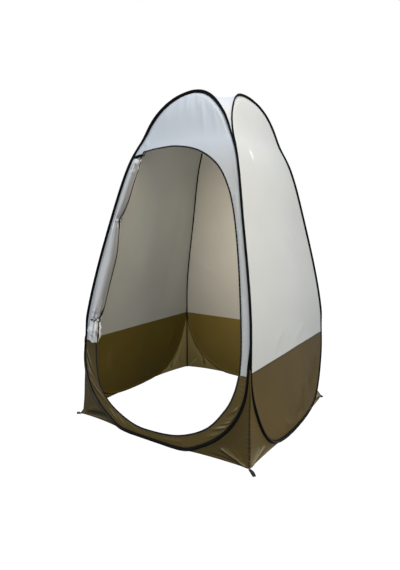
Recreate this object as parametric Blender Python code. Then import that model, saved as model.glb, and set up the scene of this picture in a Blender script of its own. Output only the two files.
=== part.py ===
"""Pop-up shower tent: four closed spring hoops in fabric sleeves, with panels, roof and corner gussets.

Metres, Z up. The base centre is the origin, the door faces -Y and the tent stands on z = 0.
"""

import math

import bpy
import numpy as np

# Half outlines of the hoops as spline control points (half width, height), bottom to top
FRONT_HOOP = [
    (0, 0), (0.216, 0), (0.229, 0), (0.659, 0.249), (0.405, 1.287), (0.346, 1.609), (0.140, 1.9),
    (0, 1.9),
]
SIDE_HOOP = [
    (0, 0), (0.240, 0), (0.422, 0.046), (0.571, 0.403), (0.531, 0.609), (0.365, 1.701), (0.188, 1.9),
    (0, 1.9),
]
HEIGHT = 1.9
JOIN_LOW = 0.55                 # height where neighbouring hoops meet at the corner
JOIN_HIGH = 1.618               # height where they part again below the roof
FRONT_BASE = (0.605, -0.114)    # distance of the front hoop from the middle at the ground, and its slope
FRONT_TOP = (0.239, -0.768)     # the same at the top
SIDE_BASE = (0.601, -0.138)
SIDE_TOP = (0.210, -0.581)
SLOPE_STEP = 0.002              # half step in height for slopes of the walls

SLEEVE_WIDE = 0.0065            # half width of a hoop sleeve across the panel edge
FRONT_TOP_WIDE = 0.0095         # the same at the top of the front and back hoops, sewn to header and roof
SIDE_TOP_WIDE = 0.0070
TOP_LOW = 1.58                  # height where the sleeves start to widen
TOP_HIGH = 1.74
SLEEVE_DEEP = 0.0045            # half depth of a hoop sleeve
LIFT = 1 - SLEEVE_WIDE / HEIGHT     # keeps the top in place when the sleeve is set down on the ground
SLEEVE_SIDES = 8
HOOP_STEPS = 46                 # stations along half a hoop
CORNER_INSET = 0.0088           # how far each sleeve stays back from the shared corner line
INSET_HEIGHTS = (0.30, 0.50, 1.63, 1.76)    # the inset grows over the first pair and fades over the second
GAP = 0.0003                    # clearance where pieces touch
CLOTH = 0.003                   # modelled thickness of the fabric

SEAM_HEIGHT = 0.465             # seam between the grey and the brown fabric
PANEL_COLUMNS = 5
CUT_CLEAR = 0.004               # stations closer than this to a cut are dropped

# Edge of the doorway in the front panel (across, height): over the arch from the right seam, down its left
# side, and along the sill
DOOR_ARCH = [
    (0.495, 0.465), (0.492, 0.577), (0.472, 0.734), (0.428, 0.999), (0.377, 1.217), (0.319, 1.366),
    (0.236, 1.479), (0.108, 1.558), (-0.040, 1.590), (-0.170, 1.586), (-0.262, 1.573),
]
DOOR_LEFT = [
    (-0.262, 1.573), (-0.300, 1.458), (-0.350, 1.207), (-0.398, 0.942), (-0.433, 0.734), (-0.453, 0.465),
]
DOOR_SILL = [
    (0.495, 0.465), (0.476, 0.365), (0.434, 0.271), (0.336, 0.155), (0.179, 0.080), (0.0, 0.057),
    (-0.138, 0.067), (-0.292, 0.128), (-0.391, 0.217), (-0.433, 0.330), (-0.453, 0.465),
]
DOOR_LEFT_SHARE = 0.4           # share of the stations of the doorway's upper edge on its left side
DOOR_COLUMNS = 4                # columns of the front panel from its hoop to the doorway
ZIP_WIDE = 0.009                # width of the zip tape round the doorway
ZIP_THICK = 0.003

CORNER_X = 0.577                # corner of the tent on the ground
CORNER_Y = 0.566
GUSSET_GAP = 0.0007             # clearance of a gusset from the sleeves
GUSSET_TOP = 0.49               # height where a corner gusset ends between two hoops
GUSSET_FIRST = 2                # hoop station near the ground where a gusset may start
GUSSET_START = 0.009            # height on the hoop where the bottom hem of a gusset starts
GUSSET_FOOT = 0.0016            # height of the middle of the gusset cloth at the ground
BINDING_WIDE = 0.008            # corner seam binding inside the tent
BINDING_THICK = 0.002
BINDING_TOP = 0.40

ROOF_STATIONS = 9               # hoop stations from the middle of the top down to a roof corner
ROOF_PASSES = 300               # rounds that settle the middle of the roof
ROOF_SAG = 0.032                # how far the roof hangs down between two hoop tops
ROOF_CORNER_SHARE = 0.45        # weight of the front hoop in the place of a roof corner
ROOF_MARGIN = 0.0019            # clearance of the roof cloth from the sleeves

# Rolled door: height, share of the hoop half width where it seems to lie, half width, half depth
DOOR_ROLL = [
    (1.530, 0.865, 0.022, 0.010), (1.500, 0.868, 0.030, 0.016), (1.400, 0.865, 0.032, 0.020),
    (1.300, 0.868, 0.034, 0.021), (1.230, 0.882, 0.028, 0.018), (1.185, 0.905, 0.020, 0.014),
    (1.130, 0.892, 0.028, 0.018), (1.000, 0.868, 0.040, 0.023), (0.850, 0.866, 0.045, 0.025),
    (0.700, 0.868, 0.044, 0.024), (0.630, 0.880, 0.033, 0.020), (0.590, 0.885, 0.028, 0.018),
    (0.545, 0.876, 0.038, 0.022), (0.475, 0.872, 0.042, 0.024),
]
SIGHT_SLOPE = 0.96              # sideways shift per metre off the wall that makes the roll seem to lie there
ROLL_STATIONS = 40
ROLL_SIDES = 12
ROLL_GAP = 0.001                # clearance of the roll from the front panel
TIE_ROOM = 0.0023               # room behind the roll where a tie passes
TIE_FADE = 0.035                # height over which that room fades
TIE_WIDE = 0.016                # width of the tie bands
TIE_THICK = 0.0015
TIE_HEIGHTS = (1.185, 0.590)

# Strap above the roll: from the hoop, through the middle, to the end of the arch
STRAP_HEIGHT = 1.556            # at the arch
STRAP_MIDDLE_DROP = 0.004
STRAP_DROP = 0.012              # at the hoop
STRAP_REACH = 0.004             # past the end of the arch, and clear of the sleeve at the hoop
STRAP_HALF = 0.005              # half its width
STRAP_THICK = 0.002
STRAP_OFF = 0.0014              # its middle off the panel

# Zip slider with its hanging pull, round its edge (across, up), and where the two sliders stand
SLIDER_OUTLINE = [
    (-0.005, 0.006), (0.005, 0.006), (0.004, -0.006), (0.0025, -0.007),
    (0.0035, -0.030), (-0.0035, -0.030), (-0.0025, -0.007), (-0.004, -0.006),
]
SLIDER_THICK = 0.0025
UPPER_SLIDER = (-0.248, 1.572)
LOWER_SLIDER = (-0.448, 0.440)

LOOP_WIDE = 0.016               # peg loops of webbing at the corners
LOOP_THICK = 0.0016
LOOP_HEIGHT = 0.010
LOOP_BEND = 7                   # points round the folded end
LOOP_START = 0.0018             # distance of a loop from the tip of its gusset
LONG_LOOP = 0.070               # at the near front corner, and at its opposite
SHORT_LOOP = 0.028              # at the front left corner, where most of it is folded under
STUB_LOOP = 0.015               # at the back right corner


def clear_scene():
    """Remove the objects of the start scene."""
    for old in list(bpy.data.objects):
        bpy.data.objects.remove(old, do_unlink=True)


def material(name, colour, roughness, metallic=0.0):
    """One Principled material."""
    made = bpy.data.materials.new(name)
    made.use_nodes = True
    shader = made.node_tree.nodes["Principled BSDF"]
    shader.inputs["Base Color"].default_value = (*colour, 1.0)
    shader.inputs["Roughness"].default_value = roughness
    shader.inputs["Metallic"].default_value = metallic
    return made


def solid(name, points, faces, finish, angle=40.0):
    """Add one closed body from points and faces, shaded smooth below the given edge angle."""
    mesh = bpy.data.meshes.new(name)
    mesh.from_pydata([tuple(map(float, p)) for p in points], [], faces)
    mesh.update()
    mesh.shade_smooth()
    mesh.set_sharp_from_angle(angle=math.radians(angle))
    mesh.materials.append(finish)
    made = bpy.data.objects.new(name, mesh)
    bpy.context.scene.collection.objects.link(made)
    return made


def b_spline(control, steps):
    """Points of a clamped cubic B-spline, by the usual recursion over its knots."""
    control = np.array(control, float)
    count = len(control)
    knots = np.concatenate([np.zeros(3), np.linspace(0, 1, count - 2), np.ones(3)])
    at = np.linspace(0, 1, steps)
    basis = [((knots[i] <= at) & (at < knots[i + 1])).astype(float) for i in range(len(knots) - 1)]
    basis[count - 1][-1] = 1.0
    for degree in (1, 2, 3):
        for i in range(len(knots) - 1 - degree):
            rise = knots[i + degree] - knots[i]
            fall = knots[i + degree + 1] - knots[i + 1]
            left = (at - knots[i]) / rise * basis[i] if rise > 0 else 0.0
            right = (knots[i + degree + 1] - at) / fall * basis[i + 1] if fall > 0 else 0.0
            basis[i] = left + right
    return sum(basis[i][:, None] * control[i] for i in range(count))


def through(points, steps):
    """Points of a smooth curve through the given ones (Catmull-Rom), evenly spaced along it."""
    points = np.array(points, float)
    ends = np.vstack([2 * points[0] - points[1], points, 2 * points[-1] - points[-2]])
    t = np.linspace(0, 1, 12, endpoint=False)[:, None]
    spans = []
    for a, b, c, d in zip(ends, ends[1:], ends[2:], ends[3:]):
        square = 2 * a - 5 * b + 4 * c - d
        cube = 3 * b - a - 3 * c + d
        spans.append(b + 0.5 * ((c - a) * t + square * t**2 + cube * t**3))
    return even(np.vstack(spans + [points[-1:]]), steps)


def even(curve, steps):
    """The same curve with evenly spaced points."""
    along = np.concatenate([[0], np.cumsum(np.linalg.norm(np.diff(curve, axis=0), axis=1))])
    at = np.linspace(0, along[-1], steps)
    return np.stack([np.interp(at, along, curve[:, k]) for k in range(curve.shape[1])], axis=1)


def smooth(value, low, high):
    """Rises smoothly from 0 at low to 1 at high."""
    t = np.clip((value - low) / (high - low), 0, 1)
    return t * t * (3 - 2 * t)


def hermite(z, low, high):
    """Cubic between two ends, each given as (height, value, slope)."""
    span = high[0] - low[0]
    t = (z - low[0]) / span
    start = (2 * t**3 - 3 * t**2 + 1) * low[1] + (t**3 - 2 * t**2 + t) * span * low[2]
    return start + (3 * t**2 - 2 * t**3) * high[1] + (t**3 - t**2) * span * high[2]


def lean(z, other, base, top):
    """Distance of a panel from the middle at height z: along the joined corners it follows the other hoop."""
    curve = b_spline(other, 400)
    step = 0.01

    def width(height):
        return np.interp(height, curve[:, 1], curve[:, 0])

    def slope(height):
        return (width(height + step) - width(height - step)) / (2 * step)

    above = hermite(z, (JOIN_HIGH, width(JOIN_HIGH), slope(JOIN_HIGH)), (HEIGHT, top[0], top[1]))
    below = hermite(z, (0.0, base[0], base[1]), (JOIN_LOW, width(JOIN_LOW), slope(JOIN_LOW)))
    return np.where(z > JOIN_HIGH, above, np.where(z < JOIN_LOW, below, width(z)))


def front_lean(z):
    """Distance of the front and back panels from the middle."""
    return lean(np.asarray(z, float), SIDE_HOOP, FRONT_BASE, FRONT_TOP)


def side_lean(z):
    """Distance of the side panels from the middle."""
    return lean(np.asarray(z, float), FRONT_HOOP, SIDE_BASE, SIDE_TOP)


class Wall:
    """One side of the tent, worked out as if it faced -Y: x across, y = -lean(z)."""

    def __init__(self, outline, leaning, top_wide):
        self.leaning = leaning
        fine = b_spline(outline, 300)
        grow = smooth(fine[:, 1], INSET_HEIGHTS[0], INSET_HEIGHTS[1])
        fade = smooth(fine[:, 1], INSET_HEIGHTS[2], INSET_HEIGHTS[3])
        fine[:, 0] -= CORNER_INSET * grow * (1 - fade)
        half = even(fine, HOOP_STEPS + 1)
        x = np.concatenate([half[:, 0], -half[-2:0:-1, 0]])
        z = np.concatenate([half[:, 1], half[-2:0:-1, 1]])
        self.line = np.stack([x, -leaning(z), SLEEVE_WIDE + z * LIFT], axis=1)
        self.wide = SLEEVE_WIDE + (top_wide - SLEEVE_WIDE) * smooth(z, TOP_LOW, TOP_HIGH)
        ahead = np.roll(self.line, -1, axis=0) - np.roll(self.line, 1, axis=0)
        tangent = ahead / np.linalg.norm(ahead, axis=1)[:, None]
        out = self.normal(self.line[:, 2])
        out -= (out * tangent).sum(axis=1)[:, None] * tangent
        self.out = out / np.linalg.norm(out, axis=1)[:, None]
        self.inward = np.cross(tangent, self.out)
        middle = np.array([0.0, 0.0, HEIGHT / 2])
        self.inward *= np.sign((self.inward * (middle - self.line) * [1, 0, 1]).sum(axis=1))[:, None]

    def y(self, z):
        """Depth of the wall at height z of the finished tent."""
        return -self.leaning(np.clip((np.asarray(z, float) - SLEEVE_WIDE) / LIFT, 0, HEIGHT))

    def normal(self, z):
        """Outward normal of the wall at height z of the finished tent."""
        z = (np.asarray(z, float) - SLEEVE_WIDE) / LIFT
        low = np.clip(z - SLOPE_STEP, 0, HEIGHT)
        high = np.clip(z + SLOPE_STEP, 0, HEIGHT)
        slope = (self.leaning(high) - self.leaning(low)) / (high - low)
        out = np.stack([0 * z, -np.ones_like(z), -slope], axis=-1)
        return out / np.linalg.norm(out, axis=-1)[..., None]

    def half_edge(self, side, gap=GAP):
        """Right half of the sleeve's inner edge (side 1), middle (0) or outer edge (-1), and the gap."""
        moved = self.line + self.inward * (side * (self.wide + gap))[:, None]
        return moved[:HOOP_STEPS + 1]


def turn(points, quarter):
    """Points turned by quarter turns about Z, from the front to the side they belong to."""
    angle = quarter * math.pi / 2
    c, s = round(math.cos(angle)), round(math.sin(angle))
    p = np.asarray(points, float)
    return np.stack([c * p[:, 0] - s * p[:, 1], s * p[:, 0] + c * p[:, 1], p[:, 2]], axis=1)


def tube(rings):
    """Faces of a closed loop of rings of the same count, as an array (stations, sides, 3)."""
    stations, sides = rings.shape[:2]
    faces = []
    for i in range(stations):
        for j in range(sides):
            k = (i + 1) % stations
            m = (j + 1) % sides
            faces.append((i * sides + j, i * sides + m, k * sides + m, k * sides + j))
    return rings.reshape(-1, 3), faces


def bar(rings):
    """Faces of an open run of rings with both ends closed."""
    stations, sides = rings.shape[:2]
    faces = []
    for i in range(stations - 1):
        for j in range(sides):
            m = (j + 1) % sides
            faces.append((i * sides + j, i * sides + m, (i + 1) * sides + m, (i + 1) * sides + j))
    faces.append(tuple(range(sides))[::-1])
    faces.append(tuple((stations - 1) * sides + j for j in range(sides)))
    return rings.reshape(-1, 3), faces


def outwards(points, faces):
    """Turn every face over when the closed body has a negative volume."""
    volume = 0.0
    for face in faces:
        a = points[face[0]]
        for b, c in zip(face[1:], face[2:]):
            volume += np.dot(a, np.cross(points[b], points[c]))
    return faces if volume > 0 else [face[::-1] for face in faces]


def mean_normals(points, faces):
    """Normal at each point, as the mean of the faces round it."""
    normals = np.zeros_like(points)
    for face in faces:
        corners = points[list(face)]
        around = np.roll(corners, -1, axis=0)
        normal = np.cross(corners, around).sum(axis=0)
        for i in face:
            normals[i] += normal
    return normals / np.linalg.norm(normals, axis=1)[:, None]


def thicken(points, faces, thickness, normals):
    """Closed solid from an open sheet of faces: both skins along the normals and a wall round each edge."""
    count = len(points)
    skins = np.vstack([points + normals * thickness / 2, points - normals * thickness / 2])
    made = list(faces) + [tuple(i + count for i in face[::-1]) for face in faces]
    edges = {}
    for face in faces:
        for a, b in zip(face, face[1:] + face[:1]):
            edges[(a, b)] = True
    for a, b in edges:
        if (b, a) not in edges:
            made.append((b, a, a + count, b + count))
    return skins, made


def grid_faces(rows, columns):
    """Quads of a grid that is stored row by row."""
    faces = []
    for i in range(rows - 1):
        for j in range(columns - 1):
            a = i * columns + j
            faces.append((a, a + 1, a + columns + 1, a + columns))
    return faces


def sheet(name, grid, thickness, finish, normals=None, faces=None):
    """Closed solid of cloth from a grid of points (rows, columns, 3), with quads unless it is given faces."""
    rows, columns = grid.shape[:2]
    points = grid.reshape(-1, 3)
    if faces is None:
        faces = grid_faces(rows, columns)
    if normals is None:
        normals = mean_normals(points, faces)
    points, faces = thicken(points, faces, thickness, normals)
    return solid(name, points, outwards(points, faces), finish)


def hoop(name, wall, quarter, finish):
    """Closed sleeve of one hoop with its spring wire inside."""
    angles = np.arange(SLEEVE_SIDES) * 2 * math.pi / SLEEVE_SIDES
    across = wall.inward[:, None, :] * (wall.wide[:, None] * np.cos(angles)[None, :])[:, :, None]
    deep = wall.out[:, None, :] * (SLEEVE_DEEP * np.sin(angles))[None, :, None]
    rings = wall.line[:, None, :] + across + deep
    points, faces = tube(rings)
    points = turn(points, quarter)
    solid(name, points, outwards(points, faces), finish, 60.0)


def at_height(edge, z):
    """Point of a rising edge at one height."""
    return np.array([[np.interp(z, edge[:, 2], edge[:, k]) for k in range(3)]])


def below(edge, high):
    """Part of a rising edge under a height, with its own stations kept."""
    end = at_height(edge, high)
    keep = (edge[:, 2] < high) & (np.linalg.norm(edge - end, axis=1) > CUT_CLEAR)
    return np.vstack([edge[keep], end])


def above(edge, low):
    """Part of a rising edge over a height, with its own stations kept."""
    start = at_height(edge, low)
    keep = (edge[:, 2] > low) & (np.linalg.norm(edge - start, axis=1) > CUT_CLEAR)
    return np.vstack([start, edge[keep]])


def match(curve, count):
    """The same open polyline with more stations, added in the middle of its longest spans."""
    curve = list(curve)
    while len(curve) < count:
        spans = [np.linalg.norm(b - a) for a, b in zip(curve, curve[1:])]
        i = int(np.argmax(spans))
        curve.insert(i + 1, (curve[i] + curve[i + 1]) / 2)
    return np.array(curve)


def plain_panels(side, wall, quarter, upper, lower):
    """Grey upper and brown lower panel of a side without a door."""
    edge = wall.half_edge(1)
    top = above(edge, SEAM_HEIGHT + GAP / 2)
    bottom = below(edge, SEAM_HEIGHT - GAP / 2)[::-1]
    for word, curve, finish in (("upper", top, upper), ("lower", bottom, lower)):
        across = np.linspace(-1, 1, PANEL_COLUMNS)
        rows = curve[:-1, None, :] * np.stack([across, 0 * across + 1, 0 * across + 1], axis=1)
        faces = grid_faces(len(rows), PANEL_COLUMNS)
        points = np.vstack([rows.reshape(-1, 3), curve[-1:] * [0, 1, 1]])
        tip = len(points) - 1
        last = tip - PANEL_COLUMNS
        faces += [(last + j, last + j + 1, tip) for j in range(PANEL_COLUMNS - 1)]
        normals = turn(wall.normal(points[:, 2]), quarter)
        points, faces = thicken(turn(points, quarter), faces, CLOTH, normals)
        solid(f"{side}_{word}_panel", points, outwards(points, faces), finish)


def on_wall(wall, flat):
    """Points (across, height) placed on the wall."""
    flat = np.asarray(flat, float)
    return np.stack([flat[:, 0], wall.y(flat[:, 1]), flat[:, 1]], axis=1)


def door_edge(offset, part, count):
    """Edge of the doorway, moved outwards by an offset: 'upper' is arch and left side, 'lower' the sill."""
    if part == "upper":
        down = int(count * DOOR_LEFT_SHARE)
        arch = through(DOOR_ARCH, count + 1 - down)
        left = through(DOOR_LEFT, down)
        curve = push(np.vstack([arch[:-1], left]), offset)
        level = SEAM_HEIGHT + GAP / 2
    else:
        curve = push(through(DOOR_SILL, count)[::-1], offset)
        level = SEAM_HEIGHT - GAP / 2
    curve[0, 1] = level
    curve[-1, 1] = level
    return curve


def front_outline(wall, part):
    """Edge of the front panel beside its hoop: over the top, or below from left to right."""
    edge = wall.half_edge(1)
    if part == "upper":
        half = above(edge, SEAM_HEIGHT + GAP / 2)
        return np.vstack([half, (half * [-1, 1, 1])[-2::-1]])
    half = below(edge, SEAM_HEIGHT - GAP / 2)
    return np.vstack([(half * [-1, 1, 1])[::-1], half[1:]])


def push(curve, offset):
    """A plane curve moved to its right hand by an offset, corners mitred."""
    ahead = np.diff(curve, axis=0)
    ahead /= np.linalg.norm(ahead, axis=1)[:, None]
    side = np.stack([ahead[:, 1], -ahead[:, 0]], axis=1)
    before = np.vstack([side[:1], side])
    after = np.vstack([side, side[-1:]])
    mean = before + after
    mean /= np.linalg.norm(mean, axis=1)[:, None]
    share = np.maximum((mean * before).sum(axis=1), 0.5)
    return curve + mean * (offset / share)[:, None]


def front_panels(wall, upper, lower):
    """Front panel round the doorway: grey header with jambs, and brown sill."""
    for part, finish in (("upper", upper), ("lower", lower)):
        outer = front_outline(wall, part)
        count = len(outer)
        inner = door_edge(ZIP_WIDE + GAP, part, count)
        steps = np.linspace(0, 1, DOOR_COLUMNS)[None, :, None]
        flat = outer[:, None, ::2] * (1 - steps) + inner[:, None, :] * steps
        grid = on_wall(wall, flat.reshape(-1, 2)).reshape(count, DOOR_COLUMNS, 3)
        grid[:, 0] = outer
        sheet(f"front_{part}_panel", grid, CLOTH, finish, wall.normal(grid.reshape(-1, 3)[:, 2]))


def zip_strip(name, wall, part, finish):
    """Tape along the doorway edge with the zip teeth, as one bent strip in the wall."""
    count = len(front_outline(wall, part))
    a = on_wall(wall, door_edge(ZIP_WIDE, part, count))
    b = on_wall(wall, door_edge(0.0, part, count))
    deep_a = wall.normal(a[:, 2]) * ZIP_THICK / 2
    deep_b = wall.normal(b[:, 2]) * ZIP_THICK / 2
    rings = np.stack([a - deep_a, b - deep_b, b + deep_b, a + deep_a], axis=1)
    points, faces = bar(rings)
    solid(name, points, outwards(points, faces), finish)


def roof_arc(wall, target, quarter):
    """Half of a roof edge along a hoop, from the corner up to the middle, clear of the sleeve."""
    first = HOOP_STEPS + 1 - ROOF_STATIONS
    rows = [part[first:HOOP_STEPS + 1] for part in (wall.line, wall.out, wall.inward)]
    if quarter:
        rows = [turn(part * [-1, 1, 1], quarter) for part in rows]
    line, out, inward = rows
    towards = target - line
    tangent = np.gradient(line, axis=0)
    tangent /= np.linalg.norm(tangent, axis=1)[:, None]
    towards -= (towards * tangent).sum(axis=1)[:, None] * tangent
    towards /= np.linalg.norm(towards, axis=1)[:, None]
    wide = (towards * inward).sum(axis=1) * wall.wide[first:HOOP_STEPS + 1]
    deep = (towards * out).sum(axis=1) * SLEEVE_DEEP
    reach = np.hypot(wide, deep) + ROOF_MARGIN
    return line + towards * reach[:, None]


def roof(front, side, finish):
    """Pale roof between the four hoop tops: straight across each corner, like a film in the middle."""
    first = HOOP_STEPS + 1 - ROOF_STATIONS
    ahead = front.line[first:HOOP_STEPS + 1]
    beside = turn(side.line[first:HOOP_STEPS + 1] * [-1, 1, 1], 1)
    arc = roof_arc(front, beside, 0)
    side_arc = roof_arc(side, ahead, 1)
    corner = arc[0] * ROOF_CORNER_SHARE + side_arc[0] * (1 - ROOF_CORNER_SHARE)
    arc[0] = corner
    side_arc[0] = corner
    arc[-1, 0] = 0.0
    side_arc[-1, 1] = 0.0
    front_arc = np.vstack([arc * [-1, 1, 1], arc[-2::-1]])
    right_arc = np.vstack([side_arc, (side_arc * [1, -1, 1])[-2::-1]])
    grid = np.zeros((len(right_arc), len(front_arc), 3))
    grid[0] = front_arc
    grid[-1] = front_arc * [1, -1, 1]
    grid[:, -1] = right_arc
    grid[:, 0] = right_arc * [-1, 1, 1]
    last = len(grid) - 1
    middle = last // 2
    rise = np.minimum(np.arange(last + 1), last - np.arange(last + 1))
    ring = np.add.outer(rise, rise)
    for i in range(1, last):
        for j in range(1, last):
            k = ring[i, j]
            if k > middle:
                continue
            ahead = grid[0 if i <= middle else last, k if j <= middle else last - k]
            beside = grid[k if i <= middle else last - k, 0 if j <= middle else last]
            share = rise[i] / k
            grid[i, j] = ahead + (beside - ahead) * share
            grid[i, j, 2] -= ROOF_SAG * (k / middle) ** 2 * 4 * share * (1 - share)
    inner = ring > middle
    inner[[0, -1]] = False
    inner[:, [0, -1]] = False
    grid[inner] = [0, 0, HEIGHT - ROOF_SAG]
    for _ in range(ROOF_PASSES):
        mean = (np.roll(grid, 1, 0) + np.roll(grid, -1, 0) + np.roll(grid, 1, 1) + np.roll(grid, -1, 1)) / 4
        grid[inner] = mean[inner]
    sheet("roof_panel", grid, CLOTH, finish, faces=ruled_triangles(len(grid)))


def ruled_triangles(count):
    """Triangles of a square grid, with diagonals that run straight across each of its corners."""
    middle = count // 2
    faces = []
    for i in range(count - 1):
        for j in range(count - 1):
            a = i * count + j
            b, c, d = a + 1, a + count + 1, a + count
            if (i < middle) == (j < middle):
                faces += [(a, b, d), (b, c, d)]
            else:
                faces += [(a, b, c), (a, c, d)]
    return faces


def corner_signs():
    """The four corners as name and signs of x and y."""
    return (("front_right", 1, -1), ("back_right", 1, 1), ("back_left", -1, 1), ("front_left", -1, -1))


def mirror(points, sx, sy):
    """Points of the front right corner moved to another corner."""
    return np.asarray(points, float) * [sx, -sy, 1]


def gusset_rows(front, side):
    """Rows of a corner gusset from the split of two hoops to the ground: front edge, seam, side edge."""
    edges = []
    for wall in (front, side):
        edge = wall.half_edge(-1, GUSSET_GAP)[GUSSET_FIRST:]
        edges.append(above(below(edge, GUSSET_TOP), GUSSET_START)[::-1])
    a = edges[0]
    b = turn(edges[1] * [-1, 1, 1], 1)
    count = max(len(a), len(b))
    a = match(a, count)
    b = match(b, count)
    drop = np.linspace(0, 1, count)[:, None]
    start = np.array([[max(a[0, 0], b[0, 0]), min(a[0, 1], b[0, 1]), GUSSET_TOP]])
    foot = np.array([[CORNER_X, -CORNER_Y, GUSSET_FOOT]])
    seam = start + (foot - start) * drop
    return a, seam, b


def gussets(front, side, finish, seam_finish):
    """Four brown corner gussets, each of two triangles, with a seam binding inside the corner."""
    a, seam, b = gusset_rows(front, side)
    rows = []
    for p, q, r in zip(a, seam, b):
        rows.append([p, p + (q - p) / 3, p + (q - p) * 2 / 3, q, q + (r - q) / 3, q + (r - q) * 2 / 3, r])
    grid = np.array(rows)
    for name, sx, sy in corner_signs():
        moved = mirror(grid.reshape(-1, 3), sx, sy).reshape(grid.shape)
        sheet(f"{name}_gusset", moved, CLOTH, finish)
        binding(f"{name}_corner_binding", seam, sx, sy, seam_finish)


def binding(name, seam, sx, sy, finish):
    """Narrow binding tape along the inside of a corner seam."""
    inward = np.array([-1.0, 1.0, 0.0]) / math.sqrt(2)
    along = np.array([1.0, 1.0, 0.0]) / math.sqrt(2)
    back = CLOTH + BINDING_WIDE / 2 + GAP
    middle = seam[seam[:, 2] < BINDING_TOP] + inward * back
    wide = along * BINDING_WIDE / 2
    deep = inward * BINDING_THICK / 2
    corners = [-wide - deep, wide - deep, wide + deep, -wide + deep]
    rings = np.stack([middle + corner for corner in corners], axis=1)
    points, faces = bar(rings)
    points = mirror(points, sx, sy)
    solid(name, points, outwards(points, faces), finish)


def roll_stations(wall):
    """Middle line and half sizes of the rolled door, evenly spaced."""
    rows = through(DOOR_ROLL, ROLL_STATIONS)
    z = rows[:, 0]
    hoop_half = wall.half_edge(0)
    half = np.interp(z, hoop_half[:, 2], hoop_half[:, 0])
    depth = rows[:, 3]
    x = -rows[:, 1] * half + SIGHT_SLOPE * (CLOTH / 2 + depth)
    near = sum(np.exp(-((z - tie) / TIE_FADE) ** 2) for tie in TIE_HEIGHTS)
    y = wall.y(z) - CLOTH / 2 - ROLL_GAP - near * TIE_ROOM - depth
    return np.stack([x, y, z], axis=1), rows[:, 2], depth


def door_roll(wall, finish):
    """Door flap rolled up along the left jamb, gathered where the ties hold it."""
    middle, half, depth = roll_stations(wall)
    angles = np.arange(ROLL_SIDES) * 2 * math.pi / ROLL_SIDES
    x = half[:, None] * np.cos(angles)[None, :]
    y = depth[:, None] * np.sin(angles)[None, :]
    rings = middle[:, None, :] + np.stack([x, y, 0 * x], axis=2)
    points, faces = bar(rings)
    solid("rolled_door_flap", points, outwards(points, faces), finish, 60.0)


def tie_band(name, wall, height, finish):
    """Band of fabric round the rolled door."""
    middle, half, depth = roll_stations(wall)
    heights = height + np.array([-0.5, 0.5]) * TIE_WIDE
    order = np.argsort(middle[:, 2])
    angles = np.arange(2 * ROLL_SIDES) * math.pi / ROLL_SIDES
    rings = []
    largest_half = max(np.interp(z, middle[order, 2], half[order]) for z in (*heights, height))
    largest_depth = max(np.interp(z, middle[order, 2], depth[order]) for z in (*heights, height))
    low, high = heights
    for z, grow in ((low, GAP), (high, GAP), (high, GAP + TIE_THICK), (low, GAP + TIE_THICK)):
        centre = [np.interp(z, middle[order, 2], middle[order, k]) for k in (0, 1)]
        ring = np.stack([
            centre[0] + (largest_half + grow) * np.cos(angles),
            centre[1] + (largest_depth + grow) * np.sin(angles),
            np.full_like(angles, z),
        ], axis=1)
        rings.append(ring)
    points, faces = tube(np.stack(rings))
    solid(name, points, outwards(points, faces), finish)


def top_strap(wall, finish):
    """Short dark strap across the top of the roll, from the arch end to the hoop."""
    edge = wall.half_edge(0)
    left = -np.interp(STRAP_HEIGHT, edge[:, 2], edge[:, 0]) + SLEEVE_WIDE + STRAP_REACH
    right = DOOR_ARCH[-1][0] + STRAP_REACH
    rows = np.array([
        (left, STRAP_HEIGHT - STRAP_DROP),
        ((left + right) / 2, STRAP_HEIGHT - STRAP_MIDDLE_DROP),
        (right, STRAP_HEIGHT),
    ])
    off = np.array([0.0, CLOTH / 2 + STRAP_OFF, 0.0])
    upper = on_wall(wall, rows + [0, STRAP_HALF]) - off
    lower = on_wall(wall, rows - [0, STRAP_HALF]) - off
    deep = np.array([0.0, STRAP_THICK / 2, 0.0])
    rings = np.stack([upper - deep, lower - deep, lower + deep, upper + deep], axis=1)
    points, faces = bar(rings)
    solid("top_strap", points, outwards(points, faces), finish)


def slider(name, wall, place, finish):
    """Zip slider on the tape with its hanging pull, as one piece."""
    x, z = place
    back = on_wall(wall, [(x + px, z + pz) for px, pz in SLIDER_OUTLINE]) - [0, ZIP_THICK / 2 + 2 * GAP, 0]
    front = back - [0, SLIDER_THICK, 0]
    points, faces = bar(np.array([front, back]))
    solid(name, points, outwards(points, faces), finish)


def peg_loop(name, sx, sy, length, finish):
    """Webbing loop lying on the ground beyond the corner, folded back on itself with an open eye."""
    towards = np.array([CORNER_X, -CORNER_Y, 0.0])
    towards /= np.linalg.norm(towards)
    across = np.array([-towards[1], towards[0], 0.0])
    start = np.array([CORNER_X, -CORNER_Y, 0.0]) + towards * LOOP_START
    radius = LOOP_HEIGHT / 2
    bend = np.linspace(-math.pi / 2, math.pi / 2, LOOP_BEND)
    hollow = radius - LOOP_THICK
    outer = [(length - radius + radius * math.cos(t), radius + radius * math.sin(t)) for t in bend]
    inner = [(length - radius + hollow * math.cos(t), radius + hollow * math.sin(t)) for t in bend]
    flat = [(0.0, LOOP_HEIGHT), *outer[::-1], (0.0, 0.0)]
    hole = [(LOOP_THICK, LOOP_HEIGHT - LOOP_THICK), *inner[::-1], (LOOP_THICK, LOOP_THICK)]
    rings = []
    for edge in (-0.5, 0.5):
        for line in (flat, hole):
            rings.append([start + towards * a + across * LOOP_WIDE * edge + [0, 0, b] for a, b in line])
    outer_a, inner_a, outer_b, inner_b = rings
    order = np.array([outer_a, outer_b, inner_b, inner_a])
    points, faces = tube(order)
    points = mirror(points, sx, sy)
    solid(name, points, outwards(points, faces), finish)


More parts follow.
